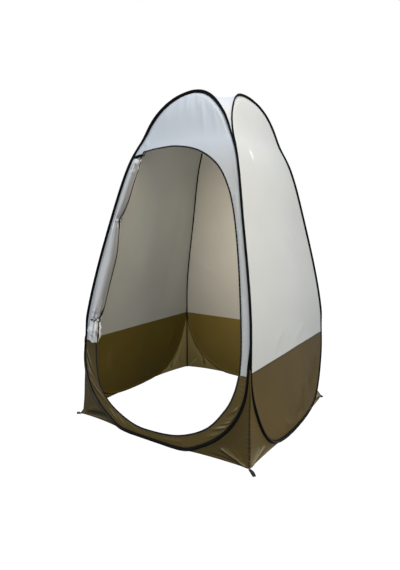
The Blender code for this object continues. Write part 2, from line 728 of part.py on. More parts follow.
def build():
    """Make the whole tent."""
    clear_scene()
    grey = material("pale_grey_fabric", (0.62, 0.64, 0.66), 0.75)
    brown = material("olive_brown_fabric", (0.13, 0.10, 0.05), 0.75)
    white = material("white_roof_fabric", (0.80, 0.80, 0.84), 0.7)
    black = material("black_sleeve_fabric", (0.02, 0.02, 0.022), 0.6)
    tape = material("black_zip_tape", (0.03, 0.03, 0.035), 0.55)
    webbing = material("black_webbing", (0.03, 0.03, 0.03), 0.8)
    pull = material("grey_slider_metal", (0.5, 0.5, 0.52), 0.35, 1.0)
    front = Wall(FRONT_HOOP, front_lean, FRONT_TOP_WIDE)
    side = Wall(SIDE_HOOP, side_lean, SIDE_TOP_WIDE)
    walls = (("front", front), ("right", side), ("back", front), ("left", side))
    for quarter, (name, wall) in enumerate(walls):
        hoop(f"{name}_hoop", wall, quarter, black)
        if name != "front":
            plain_panels(name, wall, quarter, grey, brown)
    front_panels(front, grey, brown)
    zip_strip("door_zip_arch", front, "upper", tape)
    zip_strip("door_sill_binding", front, "lower", tape)
    roof(front, side, white)
    gussets(front, side, brown, black)
    door_roll(front, grey)
    for name, height in zip(("upper_door_tie", "lower_door_tie"), TIE_HEIGHTS):
        tie_band(name, front, height, white)
    top_strap(front, black)
    slider("upper_zip_slider", front, UPPER_SLIDER, pull)
    slider("lower_zip_slider", front, LOWER_SLIDER, pull)
    for name, sx, sy in corner_signs():
        length = {"front_left": SHORT_LOOP, "back_right": STUB_LOOP}.get(name, LONG_LOOP)
        peg_loop(f"{name}_peg_loop", sx, sy, length, webbing)


build()
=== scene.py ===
"""Pop-up shower tent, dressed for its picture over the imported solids. Metres, Z up, the door faces -Y."""

import math

import bpy
import numpy as np
from mathutils import Matrix, Vector


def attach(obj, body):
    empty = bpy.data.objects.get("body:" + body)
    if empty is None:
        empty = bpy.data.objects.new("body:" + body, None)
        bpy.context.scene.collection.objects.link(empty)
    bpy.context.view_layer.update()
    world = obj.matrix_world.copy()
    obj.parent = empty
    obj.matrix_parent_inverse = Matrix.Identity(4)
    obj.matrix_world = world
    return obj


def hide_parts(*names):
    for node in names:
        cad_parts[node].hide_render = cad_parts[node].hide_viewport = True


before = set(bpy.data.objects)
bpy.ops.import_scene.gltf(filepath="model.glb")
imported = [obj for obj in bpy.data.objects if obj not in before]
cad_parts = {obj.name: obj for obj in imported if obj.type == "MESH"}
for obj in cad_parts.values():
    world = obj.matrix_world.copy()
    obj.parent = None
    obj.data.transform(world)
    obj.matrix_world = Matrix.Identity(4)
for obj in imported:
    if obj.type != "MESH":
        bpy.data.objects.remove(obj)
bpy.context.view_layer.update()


# Sprung hoops. Four closed loops of spring steel, one to a side, each inside a black woven sleeve stitched
# to the edge of its panel. Neighbours are sewn together along the corners. A panel bends in height only, so
# everything on one side of the tent lies on the same leaning wall.
FRONT_EGG = [
    (0, 0), (0.216, 0), (0.229, 0), (0.659, 0.249), (0.405, 1.287), (0.346, 1.609), (0.140, 1.9), (0, 1.9),
]
SIDE_EGG = [
    (0, 0), (0.240, 0), (0.422, 0.046), (0.571, 0.403), (0.531, 0.609), (0.365, 1.701), (0.188, 1.9),
    (0, 1.9),
]
HEIGHT = 1.9
JOIN_LOW, JOIN_HIGH = 0.55, 1.618
FRONT_BASE, FRONT_TOP = (0.605, -0.114), (0.239, -0.768)
SIDE_BASE, SIDE_TOP = (0.601, -0.138), (0.210, -0.581)
SLEEVE_WIDE, SLEEVE_DEEP = 0.0065, 0.0045
FRONT_TOP_WIDE, SIDE_TOP_WIDE = 0.0095, 0.0070
WIDEN = (1.58, 1.74)
CORNER_INSET = 0.0088
INSET_IN, INSET_OUT = (0.30, 0.50), (1.63, 1.76)
LIFT = 1 - SLEEVE_WIDE / HEIGHT
STATIONS = 260
JOINED_FROM, JOINED_TO = (0.49, 0.62), (1.50, 1.70)
PANEL_EDGE, PANEL_JOINED = 0.2, 1.0


def spline(control, steps):
    """Clamped cubic B-spline: the basis is raised from degree 0 to 3 by the recursion over even knots."""
    control = np.array(control, float)
    count = len(control)
    knots = np.concatenate([np.zeros(3), np.linspace(0, 1, count - 2), np.ones(3)])
    at = np.linspace(0, 1, steps)
    basis = [((knots[i] <= at) & (at < knots[i + 1])).astype(float) for i in range(len(knots) - 1)]
    basis[count - 1][-1] = 1.0
    for degree in (1, 2, 3):
        for i in range(len(knots) - 1 - degree):
            up, down = knots[i + degree] - knots[i], knots[i + degree + 1] - knots[i + 1]
            left = (at - knots[i]) / up * basis[i] if up > 0 else 0.0
            right = (knots[i + degree + 1] - at) / down * basis[i + 1] if down > 0 else 0.0
            basis[i] = left + right
    return sum(basis[i][:, None] * control[i] for i in range(count))


def arc(curve):
    """Length along a curve of points, from its first point."""
    return np.concatenate([[0.0], np.cumsum(np.linalg.norm(np.diff(curve, axis=0), axis=1))])


def spaced(curve, steps):
    """The same curve with its points at even spacing."""
    along = arc(curve)
    at = np.linspace(0, along[-1], steps)
    return np.stack([np.interp(at, along, curve[:, k]) for k in range(curve.shape[1])], axis=1)


def rise(value, low, high):
    """Smooth step, 3t^2 - 2t^3, from 0 at low to 1 at high."""
    t = np.clip((np.asarray(value, float) - low) / (high - low), 0, 1)
    return t * t * (3 - 2 * t)


def bell(value, wide):
    """Bell, exp(-(value / wide)^2): 1 at 0 and nearly 0 at twice the width."""
    return np.exp(-((value / wide) ** 2))


def unit(vectors):
    """Vectors scaled to length 1."""
    return vectors / np.maximum(np.linalg.norm(vectors, axis=-1, keepdims=True), 1e-12)


def lean(z, other_egg, base, top):
    """Distance of a wall from the middle: the other hoop's half width between the joins, and a cubic that
    goes on with its slope to the stated distance and slope at the ground and at the top."""
    curve = spline(other_egg, 400)
    z = np.asarray(z, float)

    def width(height):
        """Half width of the other hoop at a height."""
        return np.interp(height, curve[:, 1], curve[:, 0])

    def cubic(low, high):
        """Hermite cubic in height between two ends of (height, value, slope)."""
        span = high[0] - low[0]
        t = (z - low[0]) / span
        value = (2 * t**3 - 3 * t**2 + 1) * low[1] + (3 * t**2 - 2 * t**3) * high[1]
        return value + span * ((t**3 - 2 * t**2 + t) * low[2] + (t**3 - t**2) * high[2])

    low_slope, high_slope = ((width(at + 0.01) - width(at - 0.01)) / 0.02 for at in (JOIN_LOW, JOIN_HIGH))
    above = cubic((JOIN_HIGH, width(JOIN_HIGH), high_slope), (HEIGHT, *top))
    below = cubic((0.0, *base), (JOIN_LOW, width(JOIN_LOW), low_slope))
    return np.where(z > JOIN_HIGH, above, np.where(z < JOIN_LOW, below, width(z)))


class Side:
    """One side of the tent as if it faced -Y: its hoop's loop, and the ways towards its panel and out."""

    def __init__(self, egg, other_egg, base, top, top_wide):
        """Loop and directions from the hoop's own outline, the other hoop's, and both ends of the leaning."""
        self.table = np.linspace(0, HEIGHT, 1901)
        self.leaning = lean(self.table, other_egg, base, top)
        fine = spline(egg, 600)
        inset = rise(fine[:, 1], *INSET_IN) * (1 - rise(fine[:, 1], *INSET_OUT))
        fine[:, 0] -= CORNER_INSET * inset
        half = spaced(fine, STATIONS + 1)
        x = np.concatenate([half[:, 0], -half[-2:0:-1, 0]])
        z = np.concatenate([half[:, 1], half[-2:0:-1, 1]])
        self.line = np.stack([x, self.y(SLEEVE_WIDE + z * LIFT), SLEEVE_WIDE + z * LIFT], axis=1)
        self.wide = SLEEVE_WIDE + (top_wide - SLEEVE_WIDE) * rise(z, *WIDEN)
        tangent = unit(np.roll(self.line, -1, axis=0) - np.roll(self.line, 1, axis=0))
        out = self.normal(self.line[:, 2])
        self.out = unit(out - (out * tangent).sum(axis=1)[:, None] * tangent)
        self.inward = np.cross(tangent, self.out)
        middle = [0, 0, HEIGHT / 2] - self.line
        self.inward *= np.sign((self.inward * middle * [1, 0, 1]).sum(axis=1))[:, None]

    def y(self, z):
        """Minus the leaning at height z, read with the lift of the hoop taken off."""
        return -np.interp((np.asarray(z, float) - SLEEVE_WIDE) / LIFT, self.table, self.leaning)

    def normal(self, z):
        """Outward normal (0, -1, -slope of the leaning), scaled to length 1."""
        z = np.asarray(z, float)
        slope = -(self.y(z + 0.004) - self.y(z - 0.004)) / 0.008
        return unit(np.stack([0 * z, -np.ones_like(z), -slope], axis=-1))

    def edge(self, inwards, off=0.0):
        """Right half of the loop, moved towards the panel by a share of the half width plus off."""
        moved = self.line + self.inward * (np.asarray(inwards) * self.wide + off)[:, None]
        return moved[: STATIONS + 1]

    def panel_edge(self):
        """Right half of the panel's edge, behind the sleeve and further out where two hoops are joined."""
        joined = rise(self.line[:, 2], *JOINED_FROM) * (1 - rise(self.line[:, 2], *JOINED_TO))
        return self.edge(PANEL_EDGE - PANEL_JOINED * joined)

    def place(self, flat, off=0.0):
        """Points (across, height) put on the wall, off metres outwards."""
        flat = np.asarray(flat, float)
        x, z = flat[..., 0], flat[..., 1]
        return np.stack([x, self.y(z), z], axis=-1) + self.normal(z) * np.asarray(off)[..., None]


def turned(points, quarter):
    """Points turned about Z by quarter turns, from the front to the side that they belong to."""
    c, s = (1, 0, -1, 0)[quarter], (0, 1, 0, -1)[quarter]
    x, y, z = points[..., 0], points[..., 1], points[..., 2]
    return np.stack([c * x - s * y, s * x + c * y, z], axis=-1)


def piece(name, points, quads, flat, finishes, skins=None, sharp=50.0, painted_light=None):
    """Mesh object from points and quads, with the cloth's own metres at each corner as its UV map and, on
    each point, its painted light: a painted highlight above 0 and painted shade below 0. The quads are
    turned over if the volume they close, a sixth of the sum of a . (b x c), comes out negative."""
    a, b, c, d = (points[quads[:, k]] for k in range(4))
    volume = (a * np.cross(b, c)).sum() + (a * np.cross(c, d)).sum()
    if volume < 0:
        quads, flat = quads[:, ::-1], flat[:, ::-1]
    mesh = bpy.data.meshes.new(name)
    mesh.vertices.add(len(points))
    mesh.vertices.foreach_set("co", np.ascontiguousarray(points, np.float32).ravel())
    mesh.loops.add(quads.size)
    mesh.loops.foreach_set("vertex_index", np.ascontiguousarray(quads, np.int32).ravel())
    mesh.polygons.add(len(quads))
    mesh.polygons.foreach_set("loop_start", np.arange(0, quads.size, 4, dtype=np.int32))
    if skins is not None:
        mesh.polygons.foreach_set("material_index", skins.astype(np.int32))
    mesh.uv_layers.new(name="cloth").uv.foreach_set("vector", np.ascontiguousarray(flat, np.float32).ravel())
    if painted_light is not None:
        mesh.attributes.new("painted_light", "FLOAT", "POINT").data.foreach_set("value", painted_light.astype(np.float32))
    mesh.update(calc_edges=True)
    mesh.validate()
    mesh.shade_smooth()
    mesh.set_sharp_from_angle(angle=math.radians(sharp))
    for finish in finishes:
        mesh.materials.append(finish)
    made = bpy.data.objects.new(name, mesh)
    bpy.context.scene.collection.objects.link(made)
    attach(made, "root")
    return made


def grid_quads(rows, columns, round_rows=False, round_columns=False):
    """Corner indices of a grid's quads, and the same corners as (row, column) counted on past the last."""
    r = np.arange(rows if round_rows else rows - 1)
    c = np.arange(columns if round_columns else columns - 1)
    i, j = (m.ravel() for m in np.meshgrid(r, c, indexing="ij"))
    row, column = np.stack([i, i, i + 1, i + 1], axis=1), np.stack([j, j + 1, j + 1, j], axis=1)
    return (row % rows) * columns + column % columns, row, column


def map_of(along, across):
    """Map coordinates (along, across) of a grid whose rows run along."""
    return np.stack(np.broadcast_arrays(along[:, None], across[None, :]), axis=-1)


def tube(name, rings, flat, finish, round_rows=False, sharp=50.0, painted_light=None):
    """Closed tube over rings (stations, sides, 3), either run round into itself or capped with rungs at
    both ends. flat has one more station and side than the rings where they run round."""
    stations, sides = rings.shape[:2]
    quads, row, column = grid_quads(stations, sides, round_rows, True)
    corners = flat[row, column]
    if not round_rows:
        k = np.arange(sides // 2 - 1)
        first = np.stack([k + 1, k, sides - 1 - k, sides - 2 - k], axis=1)
        last = (stations - 1) * sides + first[:, ::-1]
        quads = np.vstack([quads, first, last])
        corners = np.concatenate([corners, flat[0, first], flat[-1, first[:, ::-1]]])
    return piece(name, rings.reshape(-1, 3), quads, corners, [finish], sharp=sharp, painted_light=painted_light)


def plug(tree, value, socket):
    """Link a socket, or set a number or colour, on an input."""
    if isinstance(value, bpy.types.NodeSocket):
        tree.links.new(value, socket)
    else:
        socket.default_value = value


def sums(tree, how, *values):
    """One Math node over the given sockets or numbers."""
    node = tree.nodes.new("ShaderNodeMath")
    node.operation = how
    for value, socket in zip(values, node.inputs):
        plug(tree, value, socket)
    return node.outputs[0]


def axes(tree, place):
    """The three numbers of a vector."""
    node = tree.nodes.new("ShaderNodeSeparateXYZ")
    plug(tree, place, node.inputs[0])
    return node.outputs


def noise(tree, place, scale, **settings):
    """Noise of a place, 0 to 1."""
    node = tree.nodes.new("ShaderNodeTexNoise")
    for word, value in {"Vector": place, "Scale": scale, **settings}.items():
        plug(tree, value, node.inputs[word])
    return node.outputs[0]


def spread(tree, value, low, high, how="LINEAR"):
    """Share of the way from low to high, held between 0 and 1."""
    node = tree.nodes.new("ShaderNodeMapRange")
    node.interpolation_type = how
    for word, given in (("Value", value), ("From Min", low), ("From Max", high)):
        plug(tree, given, node.inputs[word])
    return node.outputs[0]


def blend(tree, share, first, second, how="MIX"):
    """Colour that goes from the first to the second, or to their product, with the share."""
    node = tree.nodes.new("ShaderNodeMix")
    node.data_type, node.blend_type = "RGBA", how
    for value, socket in ((share, 0), (first, 6), (second, 7)):
        plug(tree, (*value, 1.0) if isinstance(value, tuple) else value, node.inputs[socket])
    return node.outputs[2]


def group(name, inputs, outputs):
    """Empty node group with vector or number inputs and number outputs."""
    tree = bpy.data.node_groups.new(name, "ShaderNodeTree")
    for word, kind in inputs:
        tree.interface.new_socket(word, in_out="INPUT", socket_type=f"NodeSocket{kind}")
    for word in outputs:
        tree.interface.new_socket(word, in_out="OUTPUT", socket_type="NodeSocketFloat")
    return tree, tree.nodes.new("NodeGroupInput").outputs, tree.nodes.new("NodeGroupOutput").inputs


def use(tree, shared, **values):
    """Place a node group and give its inputs."""
    node = tree.nodes.new("ShaderNodeGroup")
    node.node_tree = shared
    for word, value in values.items():
        plug(tree, value, node.inputs[word])
    return node.outputs


def plain_weave():
    """Plain weave of threads at a pitch: where the product of the two thread waves is positive the warp's
    arch, |sin|, lies on top, and elsewhere the weft's."""
    tree, given, result = group("plain weave", [("Place", "Vector"), ("Pitch", "Float")], ["Height"])
    turn = sums(tree, "DIVIDE", math.pi, given["Pitch"])
    both = axes(tree, given["Place"])[:2]
    waves = [sums(tree, "SINE", sums(tree, "MULTIPLY", axis, turn)) for axis in both]
    over = sums(tree, "GREATER_THAN", sums(tree, "MULTIPLY", *waves), 0.0)
    warp, weft = (sums(tree, "ABSOLUTE", wave) for wave in waves)
    gap = sums(tree, "SUBTRACT", warp, weft)
    plug(tree, sums(tree, "MULTIPLY_ADD", gap, over, weft), result["Height"])
    return tree


def soft_clouds():
    """Slow unevenness of a cloth, 0 to 1: smooth noise with the middle of its range stretched."""
    tree, given, result = group("uneven cloth", [("Place", "Vector"), ("Scale", "Float")], ["Cloud"])
    slow = noise(tree, given["Place"], given["Scale"], Detail=3.0)
    plug(tree, spread(tree, slow, 0.3, 0.7), result["Cloud"])
    return tree


def handling_creases():
    """Creases left by folding, 0 to 1: thin ridges where a bent noise passes its middle, broken up by a
    second, slower noise."""
    tree, given, result = group("handling creases", [("Place", "Vector"), ("Scale", "Float")], ["Crease"])
    bent = noise(tree, given["Place"], given["Scale"], Detail=1.5, Distortion=0.6)
    off = sums(tree, "ABSOLUTE", sums(tree, "SUBTRACT", bent, 0.5))
    off = sums(tree, "MINIMUM", sums(tree, "MULTIPLY", off, 9.0), 1.0)
    ridge = sums(tree, "POWER", sums(tree, "SUBTRACT", 1.0, off), 2.0)
    slow = noise(tree, given["Place"], sums(tree, "MULTIPLY", given["Scale"], 0.45))
    where = sums(tree, "MULTIPLY", sums(tree, "SUBTRACT", slow, 0.42), 4.0)
    where = sums(tree, "MINIMUM", sums(tree, "MAXIMUM", where, 0.0), 1.0)
    plug(tree, sums(tree, "MULTIPLY", ridge, where), result["Crease"])
    return tree


def stitch_row():
    """Row of lock stitches at a stated second coordinate: 1 on a thread two thirds of a pitch long."""
    sockets = [("Place", "Vector"), ("Row", "Float"), ("Pitch", "Float"), ("Thread", "Float")]
    tree, given, result = group("stitch row", sockets, ["Stitch"])
    first, second = axes(tree, given["Place"])[:2]
    part = sums(tree, "FRACT", sums(tree, "DIVIDE", first, given["Pitch"]))
    along = sums(tree, "MULTIPLY", sums(tree, "ABSOLUTE", sums(tree, "SUBTRACT", part, 0.5)), 3.0)
    side = sums(tree, "ABSOLUTE", sums(tree, "SUBTRACT", sums(tree, "ABSOLUTE", second), given["Row"]))
    side = sums(tree, "DIVIDE", side, given["Thread"])
    far = sums(tree, "ADD", sums(tree, "POWER", along, 4.0), sums(tree, "POWER", side, 2.0))
    plug(tree, sums(tree, "MAXIMUM", sums(tree, "SUBTRACT", 1.0, far), 0.0), result["Stitch"])
    return tree


WEAVE, CLOUDS, CREASES, STITCHES = plain_weave(), soft_clouds(), handling_creases(), stitch_row()
WEAVE_SHARE, CLOUD_ROUGHNESS = 0.22, 0.08
# Share of a cloth's dark tone that its painted shade goes to.
SHADE_TONE_SHARE = 0.35
STITCH_PITCH, STITCH_THREAD, STITCH_HIGH = 0.0032, 0.0005, 0.0003


def new_material(name):
    """New material with its node tree and its shader."""
    made = bpy.data.materials.new(name)
    made.use_nodes = True
    return made, made.node_tree, made.node_tree.nodes["Principled BSDF"]


def fabric(name, dark, light, rough, pitch=0.0005, thread=0.00002, cloud=3.0, crease=0.0, crease_scale=9.0,
           sheen=0.0, shine=0.3, stitch=None, lower_shade=None, highlight_tone=None):
    """Woven cloth: its colour runs between two tones with the slow clouds, the weave and the folding
    creases stand up by metres in the bump, a stitch row may lie along the piece's own second coordinate,
    a given tint is painted shade below a stated height of that coordinate, and a given pale tone is the
    painted highlight where the piece's painted light is above 0, while below 0 a darker tone is painted
    shade."""
    made, tree, shader = new_material(name)
    place = tree.nodes.new("ShaderNodeUVMap")
    place.uv_map = "cloth"
    place = place.outputs[0]
    clouds = use(tree, CLOUDS, Place=place, Scale=cloud)["Cloud"]
    weave = use(tree, WEAVE, Place=place, Pitch=pitch)["Height"]
    slow = sums(tree, "MULTIPLY", clouds, 1 - WEAVE_SHARE)
    colour = blend(tree, sums(tree, "MULTIPLY_ADD", weave, WEAVE_SHARE, slow), dark, light)
    # Painted shade: darker and warmer below a stated height.
    if lower_shade:
        low, high, tint = lower_shade
        below = spread(tree, axes(tree, place)[1], high, low, "SMOOTHSTEP")
        colour = blend(tree, below, colour, tint, "MULTIPLY")
    # Painted light from the piece's own attribute: a painted highlight towards the pale tone above 0, painted
    # shade towards a darker tone below 0.
    if highlight_tone:
        light_mark = tree.nodes.new("ShaderNodeAttribute")
        light_mark.attribute_name = "painted_light"
        for part, tint in (("MAXIMUM", highlight_tone), ("MINIMUM", tuple(v * SHADE_TONE_SHARE for v in dark))):
            share = sums(tree, "ABSOLUTE", sums(tree, part, light_mark.outputs["Fac"], 0.0))
            colour = blend(tree, sums(tree, "MINIMUM", share, 1.0), colour, tint)
    height = sums(tree, "MULTIPLY", weave, thread)
    if crease:
        folds = use(tree, CREASES, Place=place, Scale=crease_scale)["Crease"]
        height = sums(tree, "MULTIPLY_ADD", folds, crease, height)
    if stitch:
        row, tone_of_thread = stitch
        sewn = use(tree, STITCHES, Place=place, Row=row, Pitch=STITCH_PITCH, Thread=STITCH_THREAD)["Stitch"]
        height = sums(tree, "MULTIPLY_ADD", sewn, STITCH_HIGH, height)
        colour = blend(tree, sewn, colour, tone_of_thread)
    bump = tree.nodes.new("ShaderNodeBump")
    bump.inputs["Distance"].default_value = 1.0
    plug(tree, height, bump.inputs["Height"])
    plug(tree, bump.outputs[0], shader.inputs["Normal"])
    plug(tree, colour, shader.inputs["Base Color"])
    plug(tree, sums(tree, "MULTIPLY_ADD", clouds, CLOUD_ROUGHNESS, rough), shader.inputs["Roughness"])
    shader.inputs["Specular IOR Level"].default_value = shine
    shader.inputs["Sheen Weight"].default_value = sheen
    shader.inputs["Sheen Roughness"].default_value = 0.4
    return made


# The sleeves' pale tone is a painted highlight, laid on their crests by the sleeve's painted light.
SLEEVE_BLACK = fabric("black woven sleeve", (0.0026, 0.0025, 0.0024), (0.0060, 0.0058, 0.0056), 0.5, 0.0006,
                      0.00006, cloud=14.0, crease=0.0004, crease_scale=60.0, shine=0.05,
                      stitch=(0.0034, (0.016, 0.016, 0.018)), highlight_tone=(0.13, 0.12, 0.105))
FRONT = Side(FRONT_EGG, SIDE_EGG, FRONT_BASE, FRONT_TOP, FRONT_TOP_WIDE)
BESIDE = Side(SIDE_EGG, FRONT_EGG, SIDE_BASE, SIDE_TOP, SIDE_TOP_WIDE)
SLEEVE_ROUND, SLEEVE_GATHER = 20, 0.017
LIP_FROM, LIP_FLAT = (-0.1, 0.75), 0.58
GROUND_GAP = 0.0004
BUNDLE_ALONG, BUNDLE_ACROSS, BUNDLE_OUT = 0.0078, 0.0063, 0.0072
TOP_TILT, TILT_FROM = math.radians(30), (1.56, 1.68)
SLACK = (0.20, 0.48)
SLACK_WIDE = (0.0026, 0.0018, 0.0, 0.0)
SLACK_DEEP = ((0.0034, 0.0034), (0.0074, 0.0002), (0.0, 0.0), (0.0, 0.0))
CREST, CREST_WIDE = math.radians(80), math.radians(15)


def sleeve(name, side, quarter):
    """Sleeve round a hoop: across is wide * cos a and depth is deep * sin a, flattened to a lip towards the
    panel, and the lip's cloth gathers in small waves because it is sewn on the inside of the bend. Above
    the split the roof tilts it back, and at the foot it is slack and full. Where two hoops are sewn
    together each sleeve is half of one bundle, an ellipse that stands along the corner, with its flat side
    on the neighbour."""
    z = side.line[:, 2]
    joined = (rise(z, *JOINED_FROM) * (1 - rise(z, *JOINED_TO)))[:, None, None]
    slack = 1 - rise(z, *SLACK)
    tilt = (TOP_TILT * rise(z, *TILT_FROM))[:, None]
    inward = side.inward * np.cos(tilt) - side.out * np.sin(tilt)
    out = side.out * np.cos(tilt) + side.inward * np.sin(tilt)
    half = side.wide + SLACK_WIDE[quarter] * slack
    along = arc(np.vstack([side.line, side.line[:1]]))
    s, whole = along[:-1, None], along[-1]
    a = np.linspace(0, 2 * math.pi, SLEEVE_ROUND, endpoint=False)[None, :]
    lip = rise(np.cos(a), *LIP_FROM)
    gathers = np.round(whole / SLEEVE_GATHER)
    wave = np.sin(2 * math.pi * s / whole * gathers + 2.2 * np.sin(2 * math.pi * s / whole * 31))
    slow = np.sin(2 * math.pi * s / whole * 47 + 1.3) * np.sin(2 * math.pi * s / whole * 13)
    across = half[:, None] * np.cos(a) * (1 + 0.05 * lip * wave + 0.03 * slow)
    left, right = SLACK_DEEP[quarter]
    full = (SLEEVE_DEEP + (left + (right - left) * rise(side.line[:, 0], -0.10, 0.25)) * slack)[:, None]
    deep = full * np.sin(a) * (1 - LIP_FLAT * lip) * (1 + 0.05 * slow) + 0.0004 * lip * wave
    own = inward[:, None] * across[..., None] + out[:, None] * deep[..., None]
    turn = a[0] - math.pi / 4
    beyond = (side.out - side.inward)[:, None] / math.sqrt(2)
    towards = (side.out + side.inward)[:, None] / math.sqrt(2)
    flat_side = (np.maximum(np.cos(turn), 0.02) * BUNDLE_ACROSS)[None, :] * (1 + 0.04 * slow)
    shared = (towards * (flat_side - CORNER_INSET / math.sqrt(2))[..., None]
              + beyond * (np.sin(turn) * BUNDLE_ALONG + BUNDLE_OUT)[None, :, None])
    rings = side.line[:, None] + own + (shared - own) * joined
    rings[..., 2] += np.maximum(GROUND_GAP - rings[..., 2], 0.0)
    ring = np.stack([SLEEVE_WIDE * np.cos(a[0]), SLEEVE_DEEP * np.sin(a[0])], axis=1)
    around = arc(np.vstack([ring, ring[:1]]))
    around = np.where(around > around[-1] / 2, around - around[-1], around)
    around[-1] = 0.0
    # Painted highlight along the crest of the sleeve, strongest low on the left half of each hoop seen from
    # outside, where the black cloth catches the light.
    crest_highlight = (0.04 + 0.80 * rise(-side.line[:, 0], 0.15, 0.40)) * (1 - rise(z, 0.30, 0.45))
    painted_light = crest_highlight[:, None] * bell(a - CREST, CREST_WIDE) * (0.8 + 0.2 * slow)
    return tube(name, turned(rings, quarter), map_of(along, around), SLEEVE_BLACK, round_rows=True,
                painted_light=painted_light.ravel())


HOOPS = (("front", FRONT), ("right", BESIDE), ("back", FRONT), ("left", BESIDE))
for quarter, (word, side) in enumerate(HOOPS):
    made = sleeve(f"{word}_sleeve", side, quarter)
    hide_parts(f"{word}_hoop")


# Plain walls. The right, back and left sides are each a pale grey silver-coated polyester above and olive
# brown below, sewn together in a level felled seam: the brown laps 10 mm over the grey and is stitched
# down. The cloth is drawn tight by the hoop, so it only ripples a little beside the sleeve.
SEAM = 0.465
LAP = 0.010
CLOTH_THICK = 0.0005
# The pale tone given with a cloth is its painted highlight.
GREY = fabric("pale grey coated cloth", (0.60, 0.605, 0.60), (0.64, 0.645, 0.64), 0.50, crease=0.0002,
              crease_scale=7.0, sheen=0.1, highlight_tone=(0.74, 0.74, 0.73))
GREY_INSIDE = fabric("grey cloth inside", (0.40, 0.40, 0.375), (0.44, 0.44, 0.415), 0.55, crease=0.0002,
                     crease_scale=7.0)
# The back wall's insides are lighter, warmer copies of the other insides, with the light from the doorway
# painted in.
LIT_GREY_INSIDE = fabric("back cloth inside painted lit", (0.50, 0.470, 0.415), (0.545, 0.515, 0.455), 0.55, crease=0.0006,
                     crease_scale=8.0, shine=0.2)
BROWN = fabric("olive brown cloth", (0.094, 0.062, 0.0155), (0.126, 0.083, 0.0220), 0.42, crease=0.0003,
               crease_scale=8.0, shine=0.2, highlight_tone=(0.27, 0.235, 0.15))
BROWN_INSIDE = fabric("brown cloth inside", (0.115, 0.082, 0.014), (0.135, 0.096, 0.018), 0.50, crease=0.0003,
                      crease_scale=8.0, shine=0.15, highlight_tone=(0.36, 0.29, 0.12))
LIT_BROWN_INSIDE = fabric("back brown cloth inside painted lit", (0.168, 0.118, 0.025), (0.196, 0.138, 0.032), 0.50,
                           crease=0.0003, crease_scale=8.0, shine=0.15, highlight_tone=(0.36, 0.29, 0.12))
OUTSIDES = {"upper": GREY, "lower": BROWN}
SHADED_INSIDES = {"upper": GREY_INSIDE, "lower": BROWN_INSIDE}
SUNLIT_INSIDES = {"upper": LIT_GREY_INSIDE, "lower": LIT_BROWN_INSIDE}


def cloth(name, grid, flat, outside, inside, thick=CLOTH_THICK, middle=(0, 0, HEIGHT / 2), sharp=50.0,
          painted_light=None):
    """Closed sheet of cloth over a grid: both skins lie half the thickness off along the grid's own normal,
    the cross product of its two directions, and a rim joins them round the edge. Its outside looks away
    from middle."""
    rows, columns = grid.shape[:2]
    normal = unit(np.cross(np.gradient(grid, axis=1), np.gradient(grid, axis=0)))
    if (normal * (grid - np.asarray(middle))).sum() < 0:
        normal = -normal
    count = rows * columns
    lift = normal * thick / 2
    points = np.vstack([(grid + lift).reshape(-1, 3), (grid - lift).reshape(-1, 3)])
    quads, row, column = grid_quads(rows, columns)
    index = np.arange(count).reshape(rows, columns)
    rim = np.concatenate([index[0, :-1], index[:-1, -1], index[-1, :0:-1], index[:0:-1, 0]])
    ahead = np.roll(rim, -1)
    edge = np.stack([ahead, rim, rim + count, ahead + count], axis=1)
    corners = flat[row, column]
    corners = np.concatenate([corners, corners[:, ::-1], flat.reshape(-1, 2)[edge % count]])
    skins = np.concatenate([np.zeros(len(quads)), np.ones(len(quads)), np.zeros(len(edge))])
    every = np.vstack([quads, quads[:, ::-1] + count, edge])
    both = None if painted_light is None else np.tile(painted_light.ravel(), 2)
    return piece(name, points, every, corners, [outside, inside], skins, sharp, both)


def beside(points, line):
    """Distance of flat points from a line, and the length along it: the nearest point of the line, and the
    step to the foot of the perpendicular on its tangent."""
    along = arc(line)
    ahead = unit(np.gradient(line, axis=0))
    best = np.full(len(points), 1e9)
    at = np.zeros(len(points))
    for start in range(0, len(points), 4000):
        block = points[start : start + 4000]
        gap = ((block[:, None] - line[None]) ** 2).sum(axis=2)
        nearest = gap.argmin(axis=1)
        step = block - line[nearest]
        past = (step * ahead[nearest]).sum(axis=1)
        best[start : start + 4000] = np.abs(step[:, 0] * ahead[nearest, 1] - step[:, 1] * ahead[nearest, 0])
        at[start : start + 4000] = along[nearest] + past
    return best, at


def fold(points, line, high, wide, fade=(0.2, 0.2)):
    """Height of a soft fold: high / cosh(distance from the line / wide), eased in at each end."""
    line = np.asarray(line, float)
    share = arc(line) / arc(line)[-1]
    best = np.full(points.shape[:-1], 1e9)
    at = np.zeros(points.shape[:-1])
    for k in range(len(line) - 1):
        step = line[k + 1] - line[k]
        t = np.clip(((points - line[k]) @ step) / (step @ step), 0, 1)
        gap = np.linalg.norm(points - line[k] - t[..., None] * step, axis=-1)
        nearer = gap < best
        best = np.where(nearer, gap, best)
        at = np.where(nearer, share[k] + t * (share[k + 1] - share[k]), at)
    ease = rise(at, 0.0, max(fade[0], 1e-6)) * (1 - rise(at, 1 - max(fade[1], 1e-6), 1.0))
    return high * ease / np.cosh(np.minimum(best / wide, 30.0))


def ripples(points, seed, high, shortest, longest, count=7):
    """Slow unevenness of stretched cloth: a sum of sine waves of seeded heading, phase and length."""
    rng = np.random.default_rng(seed)
    length = rng.uniform(shortest, longest, count)
    heading = rng.uniform(0, math.pi, count)
    phase = rng.uniform(0, 2 * math.pi, count)
    waves = np.stack([np.cos(heading), np.sin(heading)]) * 2 * math.pi / length
    return high * np.sin(points @ waves + phase).mean(axis=-1) * math.sqrt(count) / 1.5


